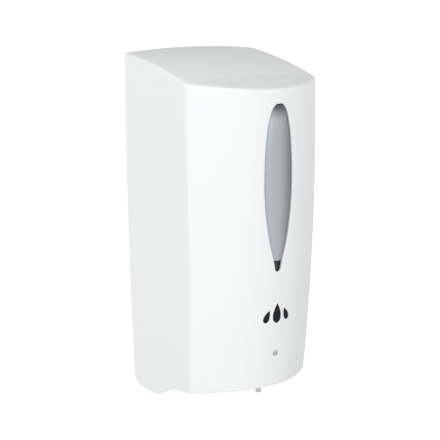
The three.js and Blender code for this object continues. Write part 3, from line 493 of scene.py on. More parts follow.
def cover_sheet(inset):
    """Outer or inner skin of the cover. Returns its points, its faces and its border loops."""
    below, inside, above, grow = cover_rows(inset)
    first_leaf, last_leaf = len(below), len(below) + len(inside) - 1
    wall_rows = len(below) + len(inside) + len(above)
    row_total = wall_rows + ROUND_ROWS
    vertices, faces, grid = [], [], {}

    def add(point):
        vertices.append(point)
        return len(vertices) - 1

    for side in (1, -1):
        for column in range(COLUMNS):
            heights = column_heights(column, inset, below, inside, above)
            for row in range(row_total):
                in_leaf = first_leaf < row < last_leaf
                in_middle = column == COLUMNS - 1 and not in_leaf
                if in_middle and side < 0:
                    grid[side, column, row] = grid[1, column, row]
                    continue
                if row < wall_rows:
                    z = heights[row]
                    opening = 0.0
                    if in_leaf:
                        opening = leaf_opening(z, min(row - first_leaf, last_leaf - row), grow)
                    x, y = cover_column(column, z, inset, opening)
                else:
                    angle = math.pi / 2 * (row - wall_rows + 1) / ROUND_ROWS
                    x, y, z = top_round_point(column, heights[-1], angle, inset)
                grid[side, column, row] = add((0.0 if in_middle else side * x, y, z))
    for side in (1, -1):
        for column in range(COLUMNS - 1):
            for row in range(row_total - 1):
                places = ((column, row), (column + 1, row), (column + 1, row + 1), (column, row + 1))
                quad = [grid[side, c, r] for c, r in places]
                faces.append(tuple(quad if side > 0 else reversed(quad)))

    rows = []
    for column in range(COLUMNS):
        right, left = grid[1, column, row_total - 1], grid[-1, column, row_total - 1]
        if right == left:
            rows.append([right] * (TOP_ACROSS + 1))
            continue
        x0, y0, _ = vertices[left]
        x1 = vertices[right][0]
        line = [left]
        for i in range(1, TOP_ACROSS):
            x = x0 + (x1 - x0) * i / TOP_ACROSS
            line.append(add((x, y0, top_z(x, y0) - inset)))
        rows.append(line + [right])
    for first, second in zip(rows, rows[1:]):
        for i in range(TOP_ACROSS):
            quad = tuple(dict.fromkeys((first[i], first[i + 1], second[i + 1], second[i])))
            if len(quad) > 2:
                faces.append(quad)

    border = [grid[-1, c, 0] for c in range(COLUMNS)]
    border += [grid[1, c, 0] for c in reversed(range(COLUMNS - 1))]
    border += [grid[1, 0, r] for r in range(1, row_total)]
    border += list(reversed(rows[0]))[1:-1]
    border += [grid[-1, 0, r] for r in reversed(range(1, row_total))]
    leaf = [grid[1, COLUMNS - 1, r] for r in range(first_leaf, last_leaf + 1)]
    leaf += [grid[-1, COLUMNS - 1, r] for r in reversed(range(first_leaf + 1, last_leaf))]
    return vertices, faces, border, leaf


def edge_loops(points, outer, inner, outwards, radius, inner_radius):
    """Rings of points from an outer border, past the edge's two roundings, to an inner border."""
    outer, inner = [[Vector(points[i]) for i in loop] for loop in (outer, inner)]
    halves = ((outer, inner, radius, (25, 50, 72, 90)), (inner, outer, inner_radius, (90, 45)))
    loops = []
    for starts, ends, size, angles in halves:
        for angle in angles:
            a = math.radians(angle)
            loop = []
            for p, q, e in zip(starts, ends, outwards):
                across = (q - p).normalized()
                loop.append(p + e * size * math.sin(a) + across * size * (1 - math.cos(a)))
            loops.append(loop)
    return loops


def build_cover():
    """The white shell: two skins, joined round their free edges and round the leaf opening."""
    outer, outer_faces, border, leaf = cover_sheet(0)
    inner, inner_faces, _, _ = cover_sheet(WALL)
    offset = len(outer)
    points = outer + inner
    faces = outer_faces + [tuple(i + offset for i in reversed(f)) for f in inner_faces]

    def close(loop, radius, inner_radius, towards):
        """Joins the two skins along a border. towards says which way is out of the shell."""
        count = len(loop)
        outwards = []
        for k in range(count):
            ahead, behind = Vector(points[loop[(k + 1) % count]]), Vector(points[loop[k - 1]])
            through = Vector(points[loop[k] + offset]) - Vector(points[loop[k]])
            e = (ahead - behind).cross(through).normalized()
            outwards.append(e if e.dot(towards(Vector(points[loop[k]]))) > 0 else -e)
        previous = loop
        inner_loop = [i + offset for i in loop]
        for ring in edge_loops(points, loop, inner_loop, outwards, radius, inner_radius):
            current = add_row(points, [tuple(p) for p in ring])
            strip(faces, previous, current, True)
            previous = current
        strip(faces, previous, inner_loop, True)

    def past_rim(p):
        behind = p.y > -2 and p.z > LOW + 2
        return Vector((0, 1, 0)) if behind else Vector((0, 0.35, -1))

    def into_leaf(p):
        return Vector((-p.x, 0, LEAF_MID - p.z)).normalized()

    close(border, EDGE, 0.4, past_rim)
    close(leaf, EDGE, INNER_EDGE, into_leaf)
    cover = make_object("cover_shell", points, faces, WHITE, "cover")
    clean(cover)
    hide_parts("cover")


def build_glazing():
    """The domed pane in the leaf opening. It is cut off square above the leaf's tip."""
    shrink, low = 0.3, -21.7
    rim, rise, reach = 2.2, 2.4, 8.5  # its rim's depth, its dome's height, and the dome's slope
    back = 2.6
    rows = cosine_rows(low, LEAF_TOP - shrink, 80)
    across = 32
    points, faces, sheets = [], [], []
    for behind in (False, True):
        sheet = []
        for z in rows:
            half = max(leaf_half((z - LEAF_MID) * 0.999 + LEAF_MID) - shrink, 0.02)
            line = []
            for i in range(across + 1):
                x = half * math.sin(math.pi * (i / across - 0.5))
                edge = min(half - abs(x), (LEAF_TOP - shrink - z) * 0.8, reach) / reach
                depth = back if behind else rim - rise * (1 - (1 - edge) ** 2.2)
                line.append((x, front_y(x, z) + depth, z))
            sheet.append(add_row(points, line))
        sheets.append(sheet)
    face, rear = sheets

    def around(sheet):
        right = [line[-1] for line in sheet]
        left = [line[0] for line in reversed(sheet)]
        return right + list(reversed(sheet[-1]))[1:-1] + left + sheet[0][1:-1]

    for sheet in sheets:
        strips(faces, sheet, False)
    strip(faces, around(face), around(rear), True)
    pane = make_object("window_glazing", points, faces, SMOKE_WITH_PAINTED_SHADE, "cover")
    clean(pane)
    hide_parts("window_pane")


def build_window_frame():
    """The dark ring behind the pane, open over the tank. Its opening stops below the leaf's top, so the
    ring's black also stands in for the shade under the opening's upper rim: partly real frame, partly
    painted shade.
    """
    front, rear = 3.0, 4.7  # behind the cover's surface

    def outline(grow, top, tip):
        rows = cosine_rows(tip, top, 72)[1:-1]
        half = [max(leaf_half(z, top, tip) + grow, 0.4) for z in rows]
        right = list(zip(half, rows))
        left = [(-x, z) for x, z in reversed(right)]
        return right + [(0, top + grow)] + left + [(0, tip - grow)]

    wide = outline(3.2, LEAF_TOP, LEAF_TIP)
    # Painted shade: the opening's top at 92 leaves a dark band under the leaf's upper rim, where shade
    # falls.
    open_ = outline(-1.4, 92, -20)
    points, faces, loops = [], [], []
    for path, depth in ((wide, front), (open_, front), (open_, rear), (wide, rear)):
        loops.append(add_row(points, [(x, front_y(x, z) + depth, z) for x, z in path]))
    strips(faces, loops + loops[:1])
    ring = make_object("window_surround", points, faces, BLACK, "cover")
    clean(ring)
    bevel(ring, 0.3)
    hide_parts("window_frame")


def printed(name, outlines, material):
    """Printed shapes that lie on the cover's front.

    Each outline is a list of pairs of points, one on each of its edges.
    """
    points, faces = [], []
    across, lift, thickness = 8, 0.05, 0.08
    for outline in outlines:
        lines = []
        for a, b in outline:
            places = [[p + (q - p) * i / across for p, q in zip(a, b)] for i in range(across + 1)]
            lines.append(add_row(points, [(x, front_y(x, z) - lift, z) for x, z in places]))
        strips(faces, lines, False)
    piece = make_object(name, points, faces, material, "cover")
    solid = piece.modifiers.new("thickness", "SOLIDIFY")
    solid.thickness = thickness * MM


def build_mark():
    """A plain soap pictogram: one large drop between two small ones."""

    def drop(size, x, z, lean, steps=32):
        pairs = []
        c, d = math.cos(lean), math.sin(lean)
        for i in range(steps + 1):
            angle = math.pi * i / steps
            half = size * 0.66 * math.sin(angle) * math.sin(angle / 2)
            height = size * math.cos(angle)
            pairs.append(tuple((x + u * c + height * d, z - u * d + height * c) for u in (-half, half)))
        return pairs

    low = MARK_Z - 1.6
    drops = [drop(7.8, 0, MARK_Z + 0.2, 0), drop(5.2, -9.4, low, 0.4), drop(5.2, 9.4, low, -0.4)]
    printed("soap_pictogram", drops, PRINT)


def build_indicator():
    """A small frosted dome in a fine dark gap, low on the front."""
    y = front_y(0, INDICATOR_Z)
    radius, gap_radius = 2.02, 2.38
    profile = [(0.0, 4.0), (3.3, 4.0), (3.3, 3.1), (radius, 3.1), (radius, 0.5), (radius, -0.02)]
    profile += [(1.9, -0.12), (1.5, -0.24), (0.8, -0.32), (0.0, -0.34)]
    lens = lathe("indicator_dome", profile, (0, y, INDICATOR_Z), "y", LENS, "cover", 40)
    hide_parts("indicator_lens")
    gap = [(radius, -0.02), (gap_radius, -0.02), (gap_radius, 0.3), (radius, 0.3), (radius, -0.02)]
    ring = lathe("indicator_gap", gap, (0, y, INDICATOR_Z), "y", BLACK, "cover", 40)


def build_cover_inside():
    """Hinge bosses and the catch rib on the cover's inner side."""
    boss_profile = [(2.3, 1.0), (2.3, -1.2), (2.6, -1.45), (4.6, -1.45), (5.0, -1.2), (5.0, -0.3)]
    boss_profile += [(5.8, 0.4), (5.8, 1.0), (2.3, 1.0)]
    wall = half_width(HINGE_Z) - WALL
    for label, side in SIDES:
        profile = [(r, side * h) for r, h in boss_profile]
        centre = (side * wall, HINGE_Y, HINGE_Z)
        boss = lathe("hinge_boss_" + label, profile, centre, "x", WHITE, "cover", 36)
    points, faces = [], []
    section = [(-12.5, 129.1), (-12.2, 128.8), (-10.8, 128.8), (-10.5, 129.1), (-10.5, 132), (-12.5, 132)]
    middle_y, foot_z, reach = -11.5, 129.5, 11
    loops = []
    for x in (-reach, -10.7, 10.7, reach):
        shrink = 0.3 if abs(x) == reach else 0
        loop = []
        for y, z in section:
            y += shrink if y < middle_y else -shrink
            loop.append((x, y, z + shrink if z < foot_z else z))
        loops.append(add_row(points, loop))
    strips(faces, loops)
    faces += [tuple(reversed(loops[0])), tuple(loops[-1])]
    rib = make_object("catch_rib", points, faces, WHITE, "cover")
    clean(rib)
    bevel(rib, 0.15)


# ---------------------------------------- tank, cap and hose
def tank_plan(inset):
    """The tank's outline from above as (x, y) points, moved inwards by inset."""
    wide, corner, bulge, rear = 54.0, 74.0, 29.0, -9.0
    half = [(0, rear), (wide - 12, rear)]
    half += [bezier((wide - 9, rear), (wide, rear), (wide, rear - 9), i / 8) for i in range(9)]
    half += [(wide, rear - 12 - 8 * i) for i in range(5)]
    front = [(wide * (1 - i / 22), -(corner + bulge * (1 - (1 - i / 22) ** 2))) for i in range(3, 23)]
    half += [bezier((wide, -corner + 9), (wide, -corner - 1.5), front[0], i / 8) for i in range(8)]
    half += front
    outline = half[:-1] + [(0.0, half[-1][1])] + [(-x, y) for x, y in reversed(half[1:-1])]
    moved = []
    count = len(outline)
    for i, (x, y) in enumerate(outline):
        ahead, behind = outline[(i + 1) % count], outline[i - 1]
        tx, ty = ahead[0] - behind[0], ahead[1] - behind[1]
        length = math.hypot(tx, ty)
        moved.append((x + inset * ty / length, y - inset * tx / length))
    return moved


def tank_shell(name, node, levels):
    """Stacks the tank's outline at (inset, z) levels and closes both ends."""
    points, faces, loops = [], [], []
    for inset, z in levels:
        loops.append(add_row(points, [(x, y, z) for x, y in tank_plan(inset)]))
    strips(faces, loops)
    for loop in (loops[0], loops[-1]):
        plan = [points[i] for i in loop]
        z = plan[0][2]
        previous = loop
        for share in (0.92, 0.6, 0.25):
            ring = add_row(points, [(x * share, TANK_Y + (y - TANK_Y) * share, z) for x, y, _ in plan])
            strip(faces, previous, ring, True)
            previous = ring
        faces.append(tuple(previous))
    shell = make_object(name, points, faces, MILKY, "wall_unit")
    clean(shell)
    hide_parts(node)


def build_tank():
    """The tub and its lid, the threaded neck under the cap, and the outlet spout."""
    low, seam, top, turn = -33.0, 77.45, 92.0, 6.0
    angles = [math.pi / 2 * i / 6 for i in range(7)]
    quarter = [(turn * (1 - math.cos(a)), turn * (1 - math.sin(a))) for a in angles]
    tub = [(inset, low + rise) for inset, rise in reversed(quarter)]
    tub += [(0.0, low + turn + 0.4), (0.0, seam - 1.5), (0.35, seam - 0.9), (0.6, seam - 0.1)]
    lid = [(0.6, seam + 0.1), (0.35, seam + 0.9), (0.0, seam + 1.5), (0.0, top - turn - 0.4)]
    lid += [(inset, top - rise) for inset, rise in quarter]
    tank_shell("tank_tub_shell", "tank", tub)
    tank_shell("tank_lid_shell", "tank_lid", lid)
    neck = [(0, 91), (24, 91), (24, 91.6), (21.6, 92.6), (21, 93.2), (21, 94.5)]
    neck += [(21.5, 95), (21.5, 95.6), (21, 96.1), (21, 98.6), (21.5, 99.1), (21.5, 99.7)]
    neck += [(21, 100.2), (21, 102.6), (20.6, 103), (18.4, 103), (18, 102.6), (18, 91)]
    lathe("tank_neck", neck, (0, TANK_Y, 0), "z", MILKY, "wall_unit", 64)
    spout = [(8.5, -33.2), (5.6, -34.2), (5, -35.4), (5, -43.1), (4.6, -43.5), (3.5, -43.5)]
    spout += [(3.2, -43.2), (3.2, -33.2), (8.5, -33.2)]
    lathe("tank_spout", spout, (0, NOZZLE_Y, 0), "z", MILKY, "wall_unit", 32)


def build_cap():
    """The tank's cap with its ring of grips and its handle."""
    profile = [(21.9, 94), (25.4, 94), (26, 94.6), (26, 105.2), (25.5, 106.4), (24.4, 107), (20, 107)]
    profile += [(19.4, 106.5), (0.0, 106.5), (0.0, 104), (21.9, 104), (21.9, 94)]
    cap = lathe("cap_body", profile, (0, TANK_Y, 0), "z", BLUE, "fill_cap", 96)
    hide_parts("fill_cap")

    grip_count, root = 48, 25.95
    points, faces = [], []
    for i in range(grip_count):
        angle = 2 * math.pi * i / grip_count
        radial = Vector((math.cos(angle), math.sin(angle), 0))
        side = Vector((-math.sin(angle), math.cos(angle), 0))
        rows = []
        for z, grow in ((95.0, 0.0), (95.7, 0.75), (104.2, 0.75), (105.4, 0.0)):
            steps = ((-0.85, -0.1), (-0.45, grow), (0.45, grow), (0.85, -0.1))
            foot = Vector((0, TANK_Y, z))
            row = [foot + radial * (root + out) + side * across for across, out in steps]
            rows.append(add_row(points, row))
        strips(faces, rows, False)
    grips = make_object("cap_grips", points, faces, BLUE, "fill_cap")

    around, half_length, half_thick = 40, 17, 2.2
    points, faces, loops = [], [], []
    for z, shrink in ((106.3, 0.0), (109.4, 0.0), (110.3, 0.35), (110.8, 0.9), (111.0, 1.6)):
        loop = []
        for i in range(around):
            angle = 2 * math.pi * i / around
            c, d = math.cos(angle), math.sin(angle)
            x = math.copysign(abs(c) ** 0.35, c) * (half_length - shrink)
            flare = 1.1 * (x / half_length) ** 2
            y = math.copysign(abs(d) ** 0.5, d) * (half_thick - shrink * 0.6 + flare)
            loop.append((x, TANK_Y + y, z))
        loops.append(add_row(points, loop))
    strips(faces, loops)
    faces.append(tuple(loops[-1]))
    handle = make_object("cap_handle", points, faces, BLUE, "fill_cap")
    clean(handle)


def tube(name, route, radius, material, body, sides=16):
    """A round tube along a list of points in millimetres."""
    curve = bpy.data.curves.new(name, "CURVE")
    curve.dimensions = "3D"
    curve.bevel_depth = radius * MM
    curve.bevel_resolution = sides // 4
    curve.use_fill_caps = True
    spline = curve.splines.new("POLY")
    spline.points.add(len(route) - 1)
    for point, place in zip(spline.points, route):
        point.co = (*[v * MM for v in place], 1)
    spline.use_smooth = True
    curve.materials.append(material)
    piece = bpy.data.objects.new(name, curve)
    bpy.context.scene.collection.objects.link(piece)
    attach(piece, body)
    return piece


def smooth_route(points, steps=10):
    """Catmull-Rom points through the given ones."""
    knots = [Vector(p) for p in points]
    knots = [knots[0] * 2 - knots[1]] + knots + [knots[-1] * 2 - knots[-2]]
    route = []
    for a, b, c, d in zip(knots, knots[1:], knots[2:], knots[3:]):
        for i in range(steps):
            t = i / steps
            square, cube = 2 * a - 5 * b + 4 * c - d, 3 * b - a - 3 * c + d
            route.append(0.5 * (2 * b + (c - a) * t + square * t * t + cube * t**3))
    return route + [knots[-2]]


def arc_route(x, z, radius, start, end, count):
    """Points on an arc in the hose's upright plane, between two angles in degrees."""
    angles = [math.radians(start + (end - start) * i / count) for i in range(count + 1)]
    return [(x + radius * math.cos(a), NOZZLE_Y, z + radius * math.sin(a)) for a in angles]


def build_hose():
    """The hose, the ribbed sleeve under the tank, the nozzle and its collar."""
    bend = 10
    route = [(0, NOZZLE_Y, -45), (0, NOZZLE_Y, -47.5)]
    route += arc_route(PUMP_X, -50.8, bend, 0, -90, 10)
    route += arc_route(PUMP_X, PUMP_Z, 15.2, 90, 270, 36)[1:]
    route += arc_route(PUMP_X, -101.2, bend, 90, 0, 10)[1:]
    route += [(0, NOZZLE_Y, -106.6)]
    hose = tube("soap_hose", route, 2.5, SILICONE, "wall_unit", 24)
    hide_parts("pump_hose")

    sleeve = [(2.85, -50.5), (4.2, -50.5), (4.7, -50.1), (5.2, -48.6), (6.2, -47.2), (6.4, -46.8)]
    sleeve += [(6.4, -46), (5.9, -45.7), (5.9, -45), (6.4, -44.7), (6.4, -43.4), (5.9, -43.1)]
    sleeve += [(5.9, -42.4), (6.4, -42.1), (6.4, -38.5), (6, -38), (5.35, -38), (5.35, -44)]
    sleeve += [(2.85, -44), (2.85, -50.5)]
    tip = [(1.1, -132), (1.6, -132), (2.05, -131.8), (2.3, -131.3), (2.3, -124.6), (2.6, -123.6)]
    tip += [(3.2, -122.6), (3.6, -121.6), (3.6, -107.4), (3.3, -107), (1.4, -107), (1.1, -107.4)]
    tip += [(1.1, -132)]
    ring = [(3.9, -124), (6.6, -124), (7.3, -123.8), (7.8, -123.3), (8, -122.7), (8, -121.6)]
    ring += [(7.7, -121.3), (5.6, -121.3), (5.6, -118.7), (5.3, -117.2), (5, -117), (3.9, -117)]
    ring += [(3.9, -124)]
    pieces = (
        ("spout_sleeve", "inlet_sleeve", sleeve, RUBBER, "rubber_black", 40),
        ("spout_tip", "nozzle", tip, SILICONE, "tube_silicone", 40),
        ("spout_collar", "nozzle_ring", ring, INNER, "inner_white", 56),
    )
    for name, node, profile, material, slot, segments in pieces:
        piece = lathe(name, profile, (0, NOZZLE_Y, 0), "z", material, "wall_unit", segments)
        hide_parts(node)


def build_sensors():
    """The two dark windows under the front and the infrared domes above them."""
    lens = [(0, -121.65), (1.6, -121.6), (3.0, -121.4), (3.7, -121.1), (4, -120.8), (4, -118.9)]
    lens += [(5.2, -118.7), (5.2, -117.6), (0, -117.6)]
    for label, side in SIDES:
        centre = (side * SENSOR_X, SENSOR_Y, 0)
        piece = lathe("sensor_window_" + label, lens, centre, "z", BLACK, "wall_unit", 40)
        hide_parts("sensor_lens_" + label)
    bulb = [(0, -110.5), (0.9, -110.35), (1.7, -109.8), (2.3, -108.9), (2.5, -107.9), (2.5, -102.9)]
    bulb += [(2.9, -102.9), (2.9, -101.9), (0, -101.9)]
    for name, piece_name, side in (("ir_emitter", "emitter_dome", -1), ("ir_receiver", "receiver_dome", 1)):
        piece = lathe(piece_name, bulb, (side * SENSOR_X, SENSOR_Y, 0), "z", BLACK, "wall_unit", 32)
        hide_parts(name)


# ---------------------------------------- leads, screws, cells, board and rotor
def build_leads():
    """The three leads, each along a listed route."""
    to_board = [(45, -79, -90), (40, -83, -94), (27, -87, -98.2), (22, -88, -99)]
    positive = [
        (-39.9, -18.8, -49.6),
        (-39.9, -27, -45),
        (-41, -50, -43.5),
        (-43, -68, -60),
        (-45, -74, -85),
    ]
    positive += [(-x, y, z) for x, y, z in to_board]
    negative = [
        (39.9, -18.8, -49.6),
        (39.9, -27, -45),
        (39, -48, -43.5),
        (34.5, -62, -45.5),
        (33, -71.4, -48.5),
    ]
    motor = [
        (32.4, -37.2, -76),
        (34.4, -36, -84),
        (40.4, -44, -96),
        (44, -66, -97),
        (45, -74, -91),
    ]
    motor += to_board
    routes = {
        "battery_lead_positive": (RED, "lead_red", positive),
        "battery_lead_negative": (RUBBER, "lead_black", negative),
        "motor_lead": (RED, "lead_red", motor),
    }
    for node, (material, slot, points) in routes.items():
        piece = tube("wire_" + node, smooth_route(points), 0.8, material, "wall_unit", 12)
        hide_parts(node)


def screw_head(name, node, centre, towards, radius, height, length, shank):
    """A pan-head screw with a cross recess. towards is the direction the head faces."""
    axis = Vector(towards)
    side = axis.orthogonal().normalized()
    up = axis.cross(side)
    points, faces, rings = [], [], []
    around = 48
    slot_half, slot_end = 0.13, 0.58  # of the head's radius

    def add_ring(reach, height_at):
        ring = []
        for i in range(around):
            angle = 2 * math.pi * i / around
            c, d = math.cos(angle), math.sin(angle)
            ring.append(Vector(centre) + axis * height_at(c, d) + side * reach * c + up * reach * d)
        rings.append(add_row(points, ring))

    def head_height(share):
        dome = height * (1 - 0.75 * share**3)

        def at(c, d):
            in_slot = share < slot_end and min(abs(c), abs(d)) * share < slot_half
            return dome - 0.65 * height * (1 - (share / 0.62) ** 4) if in_slot else dome

        return at

    for share in (0.02, 0.14, 0.22, 0.26, 0.3, 0.38, 0.5, 0.56, 0.6, 0.7, 0.84, 0.95, 1.0):
        add_ring(share * radius, head_height(share))
    add_ring(radius, lambda c, d: 0.0)
    for reach, depth in ((shank, 0.0), (shank, -length + 1), (0.2, -length)):
        add_ring(reach, lambda c, d, depth=depth: depth)
    faces.append(tuple(rings[0]))
    faces.append(tuple(reversed(rings[-1])))
    strips(faces, rings)
    piece = make_object(name, points, faces, STEEL, "wall_unit")
    clean(piece)
    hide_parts(node)


def build_screws():
    """Two screws into the wall plate and four into the front panel."""
    forward = (0, -1, 0)
    for label, side in SIDES:
        seat = (side * 20, -5.6, -44)
        screw_head("seat_screw_" + label, "chassis_screw_" + label, seat, forward, 3.2, 2.1, 4.1, 1.5)
        for level, z in (("upper", -45), ("lower", -104)):
            node = "panel_screw_%s_%s" % (level, label)
            screw_head("cross_" + node, node, (side * 44.5, -79.5, z), forward, 3.0, 1.8, 8.9, 1.2)


def build_cells():
    """Four C cells, every second one upside down: a sleeve over a steel can, with a brass band."""
    sleeve = [(12.4, 0.35), (13, 0.6), (13.1, 1.1), (13.1, 48.6), (13, 49.2), (12.4, 49.5), (12.4, 0.35)]
    can = [(0, 0.0), (11.0, 0.0), (12.3, 0.2), (12.35, 0.5), (12.35, 49.3), (11.8, 49.75), (4.4, 49.75)]
    can += [(3.4, 50.0), (3.2, 50.6), (3.0, 51.3), (2.6, 51.4), (0, 51.4)]
    band = [(13.12, 33), (13.16, 33.1), (13.16, 48.2), (13.12, 48.3)]
    for i in range(4):
        low, sign = (-108.0, 1) if i % 2 == 0 else (-56.6, -1)

        def cell_part(name, profile, material):
            placed = [(r, low + sign * h) for r, h in profile]
            centre = ((i - 1.5) * CELL_PITCH, CELL_Y, 0)
            return lathe("%s_%d" % (name, i + 1), placed, centre, "z", material, "wall_unit", 48)

        body = cell_part("cell_jacket", sleeve, JACKET)
        metal = cell_part("cell_can", can, STEEL)
        stripe = cell_part("cell_band", band, BRASS)
        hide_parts("battery_cell_%d" % (i + 1))


def block(name, low, high, material, body, rounding=0.2):
    """A box between two corners in millimetres, with rounded edges."""
    (x0, y0, z0), (x1, y1, z1) = low, high
    corners = [(x, y, z) for z in (z0, z1) for x, y in ((x0, y0), (x1, y0), (x1, y1), (x0, y1))]
    faces = [(3, 2, 1, 0), (4, 5, 6, 7), (0, 1, 5, 4), (1, 2, 6, 5), (2, 3, 7, 6), (3, 0, 4, 7)]
    piece = make_object(name, corners, faces, material, body)
    bevel(piece, rounding)


def build_board_parts():
    """Plugs, a second chip with its legs, and small resistors on the control board."""
    top = BOARD_TOP
    for label, side in SIDES:
        x = side * 22.6
        low, high = (x - 1.9, -90.6, top), (x + 1.9, -85.4, top + 2.6)
        block("plug_" + label, low, high, ACETAL, "wall_unit")
    low, high = (-19, -95, top + 0.25), (-12.5, -91.6, top + 1.5)
    block("chip_left", low, high, RUBBER, "wall_unit")
    for i in range(4):
        x = -18 + i * 1.5
        for label, y in (("front", -95.5), ("rear", -91.6)):
            name = "chip_leg_%s_%d" % (label, i + 1)
            block(name, (x, y, top), (x + 0.55, y + 0.5, top + 0.8), STEEL, "wall_unit", 0.08)
    for i in range(5):
        x = 9.5 + i * 2.6
        name = "resistor_%d" % (i + 1)
        low, high = (x, -94.6, top), (x + 1.7, -93.6, top + 0.55)
        block(name, low, high, RUBBER, "wall_unit", 0.1)
        for label, edge in (("a", x), ("b", x + 1.4)):
            low, high = (edge - 0.15, -94.65, top), (edge + 0.45, -93.55, top + 0.62)
            block("%s_end_%s" % (name, label), low, high, STEEL, "wall_unit", 0.08)


def build_rotor_ends():
    """The shaft screw, the raised rim and the pin ends on the pump rotor's front plate."""
    face = -90.5
    centre = (PUMP_X, 0, PUMP_Z)
    dome = [(0, -91.05), (0.7, -91.05), (0.9, -90.75), (1.5, -90.75), (1.8, -91.0), (2.5, -90.85)]
    dome += [(2.9, face), (0, face)]
    lathe("rotor_screw", dome, centre, "y", STEEL, "pump_shaft", 32)
    rim = [(9.9, face), (10.1, -90.95), (10.9, -90.95), (11.2, -90.7), (11.3, -90.4), (9.9, -90.4)]
    rim += [(9.9, face)]
    lathe("rotor_rim", rim, centre, "y", ACETAL, "pump_shaft", 64)
    stud = [(0, -91.0), (0.9, -91.0), (1.2, -90.8), (1.3, face), (0, face)]
    pin_circle = 7.6
    for i in range(3):
        angle = math.pi / 2 + 2 * math.pi * i / 3
        pin = (PUMP_X + pin_circle * math.cos(angle), 0, PUMP_Z + pin_circle * math.sin(angle))
        lathe("rotor_stud_%d" % (i + 1), stud, pin, "y", STEEL, "pump_shaft", 20)


build_cover()
build_glazing()
build_window_frame()
build_mark()
build_indicator()
build_cover_inside()
build_board_parts()
build_rotor_ends()
build_tank()
build_cap()
build_hose()
build_sensors()
build_leads()
build_screws()
build_cells()

# ---------------------------------------- CAD nodes that keep their shape
for subpart in frame["record"]["subparts"]:
    node = NODES[subpart["node"]]
    if node.hide_render:  # it is replaced above
        continue
    node.data.materials.clear()
    node.data.materials.append(FINISHES[subpart["material_slot"]])
    bevel(node, 0.25, angle=40)

# ---------------------------------------- floor, light and camera
FLOOR_Z, FLOOR_REACH = -0.9, 90  # metres
CORNERS = ((-1, -1), (1, -1), (1, 1), (-1, 1))
floor_mesh = bpy.data.meshes.new("floor")
floor_corners = [(x * FLOOR_REACH, y * FLOOR_REACH, FLOOR_Z) for x, y in CORNERS]
floor_mesh.from_pydata(floor_corners, [], [(0, 1, 2, 3)])
floor = bpy.data.objects.new("floor", floor_mesh)
bpy.context.scene.collection.objects.link(floor)
floor_material, floor_tree, floor_shader = new_material("floor_pale")
set_inputs(floor_shader, Base_Color=(0.2, 0.2, 0.2, 1), Roughness=0.9, Emission_Color=(1, 1, 1, 1))
floor_place = floor_tree.nodes.new("ShaderNodeTexCoord")


def floor_math(operation, first, number=None):
    """A vector operation on a socket, with a constant second vector if one is given."""
    node = floor_tree.nodes.new("ShaderNodeVectorMath")
    node.operation = operation
    link(floor_tree, first, node.inputs[0])
    if number is not None:
        node.inputs[1].default_value = number
    return node.outputs["Value" if operation in ("LENGTH", "DOT_PRODUCT") else "Vector"]


# The floor's glow is cut right under the object, a painted shadow, and on the side away from the key light,
# painted shade.
SHADE_SIDE = (0.773, -0.634, 0)
flat_place = floor_math("MULTIPLY", floor_place.outputs["Object"], (1, 1, 0))
distance = floor_math("LENGTH", flat_place)
# Painted shadow: the glow drops near the object's foot.
under = fade(floor_tree, distance, 0.3, 1.45, 0.06, 0.92, kind="SMOOTHSTEP")
toward_shade = floor_math("DOT_PRODUCT", floor_math("NORMALIZE", flat_place), SHADE_SIDE)
# Painted shade: the glow drops on the side away from the key light.
aside = fade(floor_tree, toward_shade, 0.42, 0.9, 1.0, 0.45, kind="SMOOTHSTEP")
floor_glow_with_painted_shadow = combine(floor_tree, "MULTIPLY", under, aside)
link(floor_tree, floor_glow_with_painted_shadow, floor_shader.inputs["Emission Strength"])
floor_mesh.materials.append(floor_material)

world = bpy.data.worlds.new("studio")
bpy.context.scene.world = world
world.use_nodes = True
sky = world.node_tree
background = sky.nodes["Background"]
coords = sky.nodes.new("ShaderNodeTexCoord")


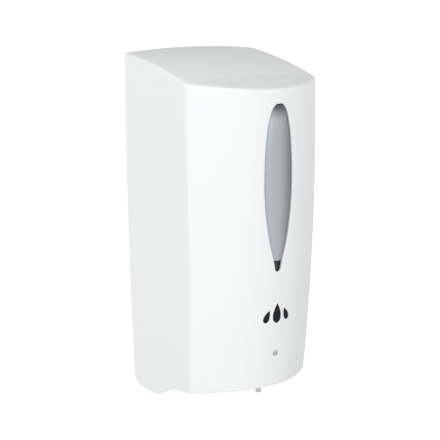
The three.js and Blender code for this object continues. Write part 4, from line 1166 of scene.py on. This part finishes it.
def sky_toward(direction):
    """How far a point of the sky lies towards a direction, from -1 to 1."""
    node = sky.nodes.new("ShaderNodeVectorMath")
    node.operation = "DOT_PRODUCT"
    node.inputs[1].default_value = Vector(direction).normalized()
    link(sky, coords.outputs["Generated"], node.inputs[0])
    return node.outputs["Value"]


# A bright side to the front left, some light from above, and a white band at the horizon behind the object.
BRIGHT_SIDE, UP = (-0.62, -0.78, 0.0), (0, 0, 1)
bright = fade(sky, sky_toward(BRIGHT_SIDE), -0.42, 0.9, 0.06, 1.26)
higher = fade(sky, sky_toward(UP), 0.1, 0.95, 1.0, 0.9)
overhead = fade(sky, sky_toward(UP), 0.4, 1.0, 0.0, 0.54)
band = fade(sky, sky_toward(UP), 0.1, 0.3, 1.0, 0.0)
glow = combine(sky, "ADD", combine(sky, "MULTIPLY", bright, higher), overhead)
link(sky, combine(sky, "MAXIMUM", glow, band), background.inputs["Color"])
background.inputs["Strength"].default_value = 1.0


def toward(azimuth, elevation):
    """The direction of a place around the object. Azimuth 0 is in front of it, and 90 on its right."""
    a, e = math.radians(azimuth), math.radians(elevation)
    return Vector((math.sin(a) * math.cos(e), -math.cos(a) * math.cos(e), math.sin(e)))


def softbox(name, azimuth, elevation, distance, size, power):
    """A round soft lamp that faces the object. Distance and size are in metres."""
    data = bpy.data.lights.new(name, "AREA")
    data.shape = "DISK"
    data.size = size
    data.energy = power
    lamp = bpy.data.objects.new(name, data)
    lamp.location = toward(azimuth, elevation) * distance
    lamp.rotation_euler = (-lamp.location).to_track_quat("-Z", "Y").to_euler()
    bpy.context.scene.collection.objects.link(lamp)


softbox("key", -12, 14, 2.4, 1.2, 5.6)

CAMERA_TARGET = Vector((-3.73, -48.4, 1.3)) * MM
CAMERA_DISTANCE = 0.9907  # metres
camera_data = bpy.data.cameras.new("camera")
camera = bpy.data.objects.new("camera", camera_data)
bpy.context.scene.collection.objects.link(camera)
direction = toward(-39.4, 10.7)
camera.location = CAMERA_TARGET + direction * CAMERA_DISTANCE
camera.rotation_euler = (-direction).to_track_quat("-Z", "Y").to_euler()
camera_data.lens = 102.3
camera_data.sensor_width = 36
camera_data.shift_x = -0.010
camera_data.clip_start = 0.05
bpy.context.scene.camera = camera
bpy.context.scene.view_settings.view_transform = "Standard"
